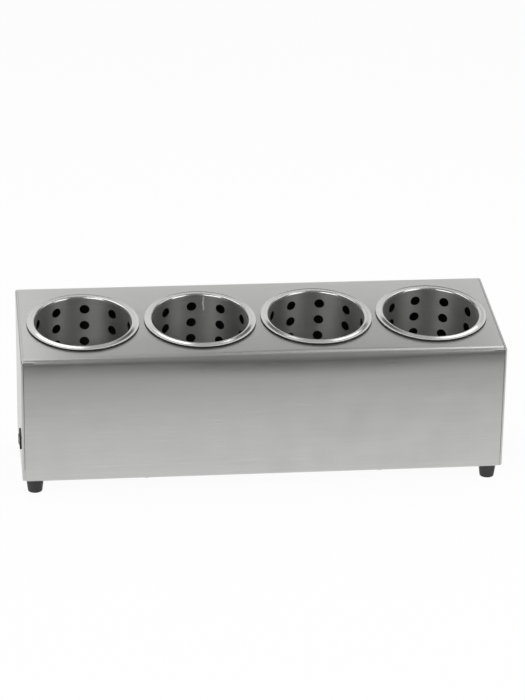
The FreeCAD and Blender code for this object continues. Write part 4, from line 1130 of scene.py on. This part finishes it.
# ---------------------------------------------------------------- studio
@dataclass
class Studio:
    """Camera, pale floor, white surroundings and soft lamps. Sizes in metres."""

    azimuth: float = -7.2481
    elevation: float = 20.453
    roll: float = 0.937
    distance: float = 2.66714
    target: tuple[float, float, float] = (0.0048, 0.0, 0.11879)
    lens: float = 136.913  # millimetres, as is the sensor
    sensor: float = 36.0
    clip: tuple[float, float] = (0.1, 50.0)
    lamp_aim: tuple[float, float, float] = (0.0, 0.0, 0.1)
    floor_size: float = 12.0
    tent_radius: float = 5.5
    tent_parts: tuple[int, int] = (48, 12)  # round it, and up it
    surroundings_light: float = 0.55
    floor_white: float = 0.94
    floor_grey: float = 0.9
    haze: float = 0.15
    front_haze: float = 0.22
    back_range: tuple[float, float] = (-0.75, 0.6)
    back_share: tuple[float, float] = (0.1, 1.0)
    side_range: tuple[float, float] = (0.35, 1.0)
    low_range: tuple[float, float] = (0.25, 0.6)
    low_share: tuple[float, float] = (0.7, 1.0)

    def camera(self) -> bpy.types.Object:
        """Place the camera on its line of sight, rolled about it, and make it the scene's."""
        az, el, roll = (math.radians(a) for a in (self.azimuth, self.elevation, self.roll))
        back = np.array([math.sin(az) * math.cos(el), -math.cos(az) * math.cos(el), math.sin(el)])
        right = np.array([math.cos(az), math.sin(az), 0.0])
        up = np.cross(back, right)
        rolled_right = math.cos(roll) * right + math.sin(roll) * up
        rolled_up = -math.sin(roll) * right + math.cos(roll) * up
        lens = bpy.data.cameras.new("view")
        lens.lens, lens.sensor_width, lens.sensor_fit = self.lens, self.sensor, "AUTO"
        lens.clip_start, lens.clip_end = self.clip
        camera = bpy.data.objects.new("view", lens)
        bpy.context.scene.collection.objects.link(camera)
        matrix = np.eye(4)
        matrix[:3, 0], matrix[:3, 1], matrix[:3, 2] = rolled_right, rolled_up, back
        matrix[:3, 3] = np.array(self.target) + back * self.distance
        camera.matrix_world = Matrix(matrix.tolist())
        bpy.context.scene.camera = camera
        return camera

    def seen_as_white(self, sheet: NodeSheet) -> bpy.types.NodeSocket:
        """Value that is 1 on camera, glossy and transmission rays, and 0 on others."""
        path = sheet.add("ShaderNodeLightPath")
        first = sheet.math("MAXIMUM", path.outputs["Is Camera Ray"], path.outputs["Is Glossy Ray"])
        return sheet.math("MAXIMUM", first, path.outputs["Is Transmission Ray"])

    def surroundings(self) -> None:
        """Fill the world with white, which is dimmer as a light than it is seen."""
        world = bpy.data.worlds.new("surroundings")
        world.use_nodes = True
        world.node_tree.nodes.clear()
        sheet = NodeSheet(world.node_tree)
        background = sheet.add("ShaderNodeBackground")
        background.inputs["Color"].default_value = (1.0, 1.0, 1.0, 1.0)
        strength = sheet.ramp(self.seen_as_white(sheet), (0.0, 1.0), (self.surroundings_light, 1.0))
        sheet.feed(background.inputs["Strength"], strength)
        sheet.show(background, "ShaderNodeOutputWorld")
        bpy.context.scene.world = world

    def floor(self) -> bpy.types.Object:
        """Lay a pale floor that mostly shows as white and keeps a faint shadow."""
        mesh = SheetMesh()
        line = np.linspace(-self.floor_size / 2, self.floor_size / 2, 9)
        grid = np.stack(np.meshgrid(line, line), axis=-1)
        mesh.add(np.insert(grid, 2, 0.0, axis=-1), flip=True)
        material, sheet = bare_material("pale_floor")
        plain = sheet.add("ShaderNodeBsdfDiffuse")
        plain.inputs["Color"].default_value = (self.floor_grey,) * 3 + (1.0,)
        glow = sheet.add("ShaderNodeEmission")
        glow.inputs["Color"].default_value = (1.0, 1.0, 1.0, 1.0)
        sheet.show_mix(sheet.math("MULTIPLY", self.seen_as_white(sheet), self.floor_white), plain, glow)
        floor = mesh.build("floor", [material])
        return floor

    def tent(self) -> bpy.types.Object:
        """Put up a dark gauze dome that only reflections see, open towards the back.

        Its points are radius * (cos e cos a, cos e sin a, sin e). In the direction (x, y, z) it lets through
        back * middle, but no less than the haze. Back is the square of a share that rises with y over the
        back range, or the front haze if that is more. Middle falls from 1 to 0 as |x| crosses the side
        range, and is dimmed to the low share as z sinks through the low range.
        """
        material, sheet = bare_material("studio_gauze")
        place = sheet.add("ShaderNodeSeparateXYZ")
        sheet.feed(place.inputs[0], sheet.add("ShaderNodeTexCoord").outputs["Object"])
        x, y, z = (sheet.math("MULTIPLY", place.outputs[k], 1.0 / self.tent_radius) for k in (0, 1, 2))
        back = sheet.ramp(y, self.back_range, self.back_share)
        middle = sheet.math("MULTIPLY", sheet.ramp(sheet.math("ABSOLUTE", x), self.side_range, (1.0, 0.0)),
                            sheet.ramp(z, self.low_range, self.low_share))
        lit = sheet.math("MAXIMUM", sheet.math("MULTIPLY", back, back), self.front_haze)
        open_share = sheet.math("MAXIMUM", sheet.math("MULTIPLY", lit, middle), self.haze)
        cloth = sheet.add("ShaderNodeBsdfDiffuse")
        cloth.inputs["Color"].default_value = (0.0, 0.0, 0.0, 1.0)
        cover = sheet.math("MULTIPLY", sheet.math("SUBTRACT", 1.0, open_share),
                           sheet.add("ShaderNodeLightPath").outputs["Is Glossy Ray"])
        sheet.show_mix(cover, sheet.add("ShaderNodeBsdfTransparent"), cloth)
        around = np.linspace(0, 2 * math.pi, self.tent_parts[0], endpoint=False)
        up = np.radians(np.linspace(0.05, 89.5, self.tent_parts[1] + 1))
        profile = self.tent_radius * np.stack([np.cos(up), np.sin(up)], axis=1)
        mesh = SheetMesh()
        mesh.add(turned(profile, around), closed=True, flip=True)
        tent = mesh.build("studio_tent", [material])
        return tent

    def flag(self, name: str, grid: np.ndarray, shade: float) -> bpy.types.Object:
        """Hang a grey flag that shows only as a reflection.

        Args:
            name: Its name.
            grid: Its points, in metres.
            shade: Its brightness, from 0 to 1.

        Returns:
            The flag.
        """
        material, sheet = bare_material(name)
        cloth = sheet.add("ShaderNodeEmission")
        cloth.inputs["Color"].default_value = (shade, shade, shade, 1.0)
        seen = sheet.add("ShaderNodeLightPath").outputs["Is Glossy Ray"]
        sheet.show_mix(seen, sheet.add("ShaderNodeBsdfTransparent"), cloth)
        mesh = SheetMesh()
        mesh.add(grid)
        flag = mesh.build(name, [material])
        return flag

    def flags(self) -> None:
        """Lay a dark cloth in front and hang a flag at the back, each between its left and right edge."""
        for name, left, right, shade in (
                ("front_cloth", ((-2.0, -0.31, 0.002), (-2.0, -5.0, 0.002)),
                 ((2.2, -0.5, 0.002), (2.2, -5.0, 0.002)), 0.03),
                ("rear_flag", ((-0.19, 0.25, 0.43), (-0.19, 0.32, 0.95)),
                 ((0.34, 0.25, 0.41), (0.34, 0.32, 0.95)), 0.14)):
            self.flag(name, np.stack([np.array(left), np.array(right)], axis=1), shade)

    def lamps(self) -> None:
        """Hang three soft lamps above and two in front, whose light reaches into the cylinders."""
        for name, place, size, power in (("left_softbox", (-0.65, 0.5, 1.8), (0.9, 0.9), 5.0),
                                         ("right_softbox", (1.0, 0.5, 1.8), (0.9, 0.9), 4.0),
                                         ("overhead_softbox", (0.5, 0.15, 1.8), (0.25, 0.4), 0.6),
                                         ("front_left_softbox", (-0.92, -1.36, 1.25), (1.2, 1.5), 11.0),
                                         ("front_right_softbox", (1.22, -1.18, 1.25), (1.0, 1.5), 9.5)):
            light = bpy.data.lights.new(name, "AREA")
            light.shape, (light.size, light.size_y), light.energy = "RECTANGLE", size, power
            lamp = bpy.data.objects.new(name, light)
            bpy.context.scene.collection.objects.link(lamp)
            lamp.location = place
            aim = np.array(self.lamp_aim) - np.array(place)
            lamp.rotation_euler = Vector(aim.tolist()).to_track_quat("-Z", "Y").to_euler()


# ---------------------------------------------------------------- assembly
def put_on(piece: bpy.types.Object, body: str, finish: str, *nodes: str) -> None:
    """Attach a piece to its body, hide the nodes that it replaces, and log it.

    Args:
        piece: The finished piece.
        body: Body that it moves with.
        finish: Material slot of the record; not used.
        *nodes: Nodes that it replaces.
    """
    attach(piece, body)
    if nodes:
        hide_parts(*nodes)
    LOG.info("%s: %d vertices, on %s", piece.name, len(piece.data.vertices), body)


def main() -> None:
    """Load the frame, build and dress every piece, and set up the studio."""
    logging.basicConfig(level=logging.INFO, format="%(message)s")
    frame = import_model()
    groups = Groups(brushing_group(), handling_group(), mould_group())
    tilt = math.radians(TOP_TILT)
    axis = (0.0, -math.sin(tilt), math.cos(tilt))
    case_steel = BrushedSteel("case_steel", (0.55, 0.555, 0.545), 0.3, 0.035).build(groups)
    end_steel = BrushedSteel("end_steel", (0.55, 0.555, 0.545), 0.3, 0.035, Grain.FRONT_TO_BACK).build(groups)
    wall_steel = TurnedSteel("cylinder_steel", (0.57, 0.575, 0.555), 0.43, 0.8, 0.05, axis).build(groups)
    # The bead's near-white colour is a painted highlight, so that the weld reads as a light line; its high
    # roughness is the rough weld's own.
    weld_steel = TurnedSteel("weld_bead", (0.97, 0.97, 0.95), 0.8, 0.0, 0.08, axis, 0.0).build(groups)
    outer_steel = TurnedSteel("cylinder_outside", (0.45, 0.45, 0.44), 0.5, 0.5, 0.06, axis, 0.1).build(groups)
    # Nearly black steel: painted shade on the case's inner faces behind the holes, and a painted shadow on
    # the rims' turned edges and undersides.
    painted_shade_steel = BrushedSteel("painted_shade_inside", (0.09, 0.09, 0.088), 0.65, 0.06, anisotropy=0.0,
                               marks=0.1).build(groups)
    rim_steel = TurnedSteel("polished_rim", (0.6, 0.605, 0.595), 0.16, 0.2, 0.02, axis, 0.05).build(groups)
    plain_steel = BrushedSteel("fastener_steel", (0.55, 0.55, 0.54), 0.3, 0.04, anisotropy=0.0,
                               fine=5000.0, coarse=1500.0).build(groups)
    tray_steel = BrushedSteel("tray_sheet", (0.6, 0.6, 0.59), 0.42, 0.06, marks=0.12).build(groups)
    sheath = BrushedSteel("element_sheath", (0.3, 0.285, 0.26), 0.5, 0.12, anisotropy=0.2,
                          marks=0.2).build(groups)
    alloy = BrushedSteel("thermostat_case", (0.72, 0.72, 0.73), 0.38, 0.05, anisotropy=0.1).build(groups)
    brass = BrushedSteel("contact_brass", (0.7, 0.53, 0.25), 0.33, 0.05, anisotropy=0.1).build(groups)
    rubber = Moulded("foot_rubber", (0.022, 0.022, 0.023), 0.55, 1400.0, 0.00005, 0.25).build(groups)
    black = Moulded("switch_plastic", (0.012, 0.012, 0.012), 0.5, 3200.0, 0.00002,
                    specular=0.25).build(groups)
    rocker = Moulded("rocker_plastic", (0.012, 0.012, 0.012), 0.35, 3200.0, 0.000006,
                     specular=0.3).build(groups)
    inlet = Moulded("inlet_plastic", (0.024, 0.024, 0.025), 0.5, 2600.0, 0.00003).build(groups)
    ceramic = Moulded("ceramic", (0.8, 0.78, 0.72), 0.65, 1800.0, 0.00005, 0.04).build(groups)
    ink = Moulded("rocker_print", (0.85, 0.85, 0.84), 0.5, 6000.0, 0.000002, 0.03).build(groups)

    case = FoldedCase()
    put_on(case.wrap(case_steel, painted_shade_steel), "case", "case_steel", "casing_wrap")
    put_on(case.end_panel(-1, end_steel, painted_shade_steel), "case", "case_steel", "left_end_panel")
    put_on(case.end_panel(1, end_steel, painted_shade_steel), "case", "case_steel", "right_end_panel")
    for index, (turn, seam) in enumerate(((-5.3, 180.0), (4.7, -14.0), (-12.2, 176.0), (9.0, 185.0))):
        cylinder = LiftOutCylinder(index, turn, turn + seam)
        put_on(cylinder.shell(wall_steel, rim_steel, outer_steel, painted_shade_steel), cylinder.body,
               "cylinder_steel", f"{cylinder.body}_tube")
        put_on(cylinder.drained_floor(wall_steel), cylinder.body, "cylinder_steel", f"{cylinder.body}_floor")
        put_on(cylinder.weld_seam(weld_steel), cylinder.body, "cylinder_steel")
    for name, place in (("foot_front_left", (-226.5, -59.5)), ("foot_front_right", (226.5, -59.5)),
                        ("foot_rear_left", (-226.5, 59.5)), ("foot_rear_right", (226.5, 59.5))):
        put_on(RubberFoot(name, place).build(rubber), "case", "foot_rubber", name)
    put_on(RockerMarks().build(ink), "rocker", "rocker_plastic")

    dressed = {
        "base_plate": case_steel, "foot_screws": plain_steel, "foot_nuts": plain_steel,
        "base_screws": plain_steel, "base_nuts": plain_steel, "reflector_tray": tray_steel,
        "heating_element": sheath, "element_terminals": sheath, "element_brackets": tray_steel,
        "thermal_cutout": alloy, "thermostat_blades": brass, "thermostat_rivets": alloy,
        "terminal_block": ceramic, "block_inserts": brass, "block_screw": plain_steel,
        "block_nut": plain_steel, "switch_housing": black, "switch_rocker": rocker,
        "switch_terminals": brass, "power_inlet": inlet, "inlet_pins": brass,
        "inlet_screws": plain_steel, "inlet_nuts": plain_steel, "earth_stud": brass, "earth_nut": brass,
    }
    for name, node in frame["nodes"].items():
        if name in dressed:
            node.data.materials.clear()
            node.data.materials.append(dressed[name])
            LOG.info("%s: dressed", name)

    studio = Studio()
    studio.camera()
    studio.surroundings()
    studio.floor()
    studio.tent()
    studio.flags()
    studio.lamps()
    bpy.context.scene.view_settings.view_transform = "Standard"


if __name__ == "__main__":
    main()
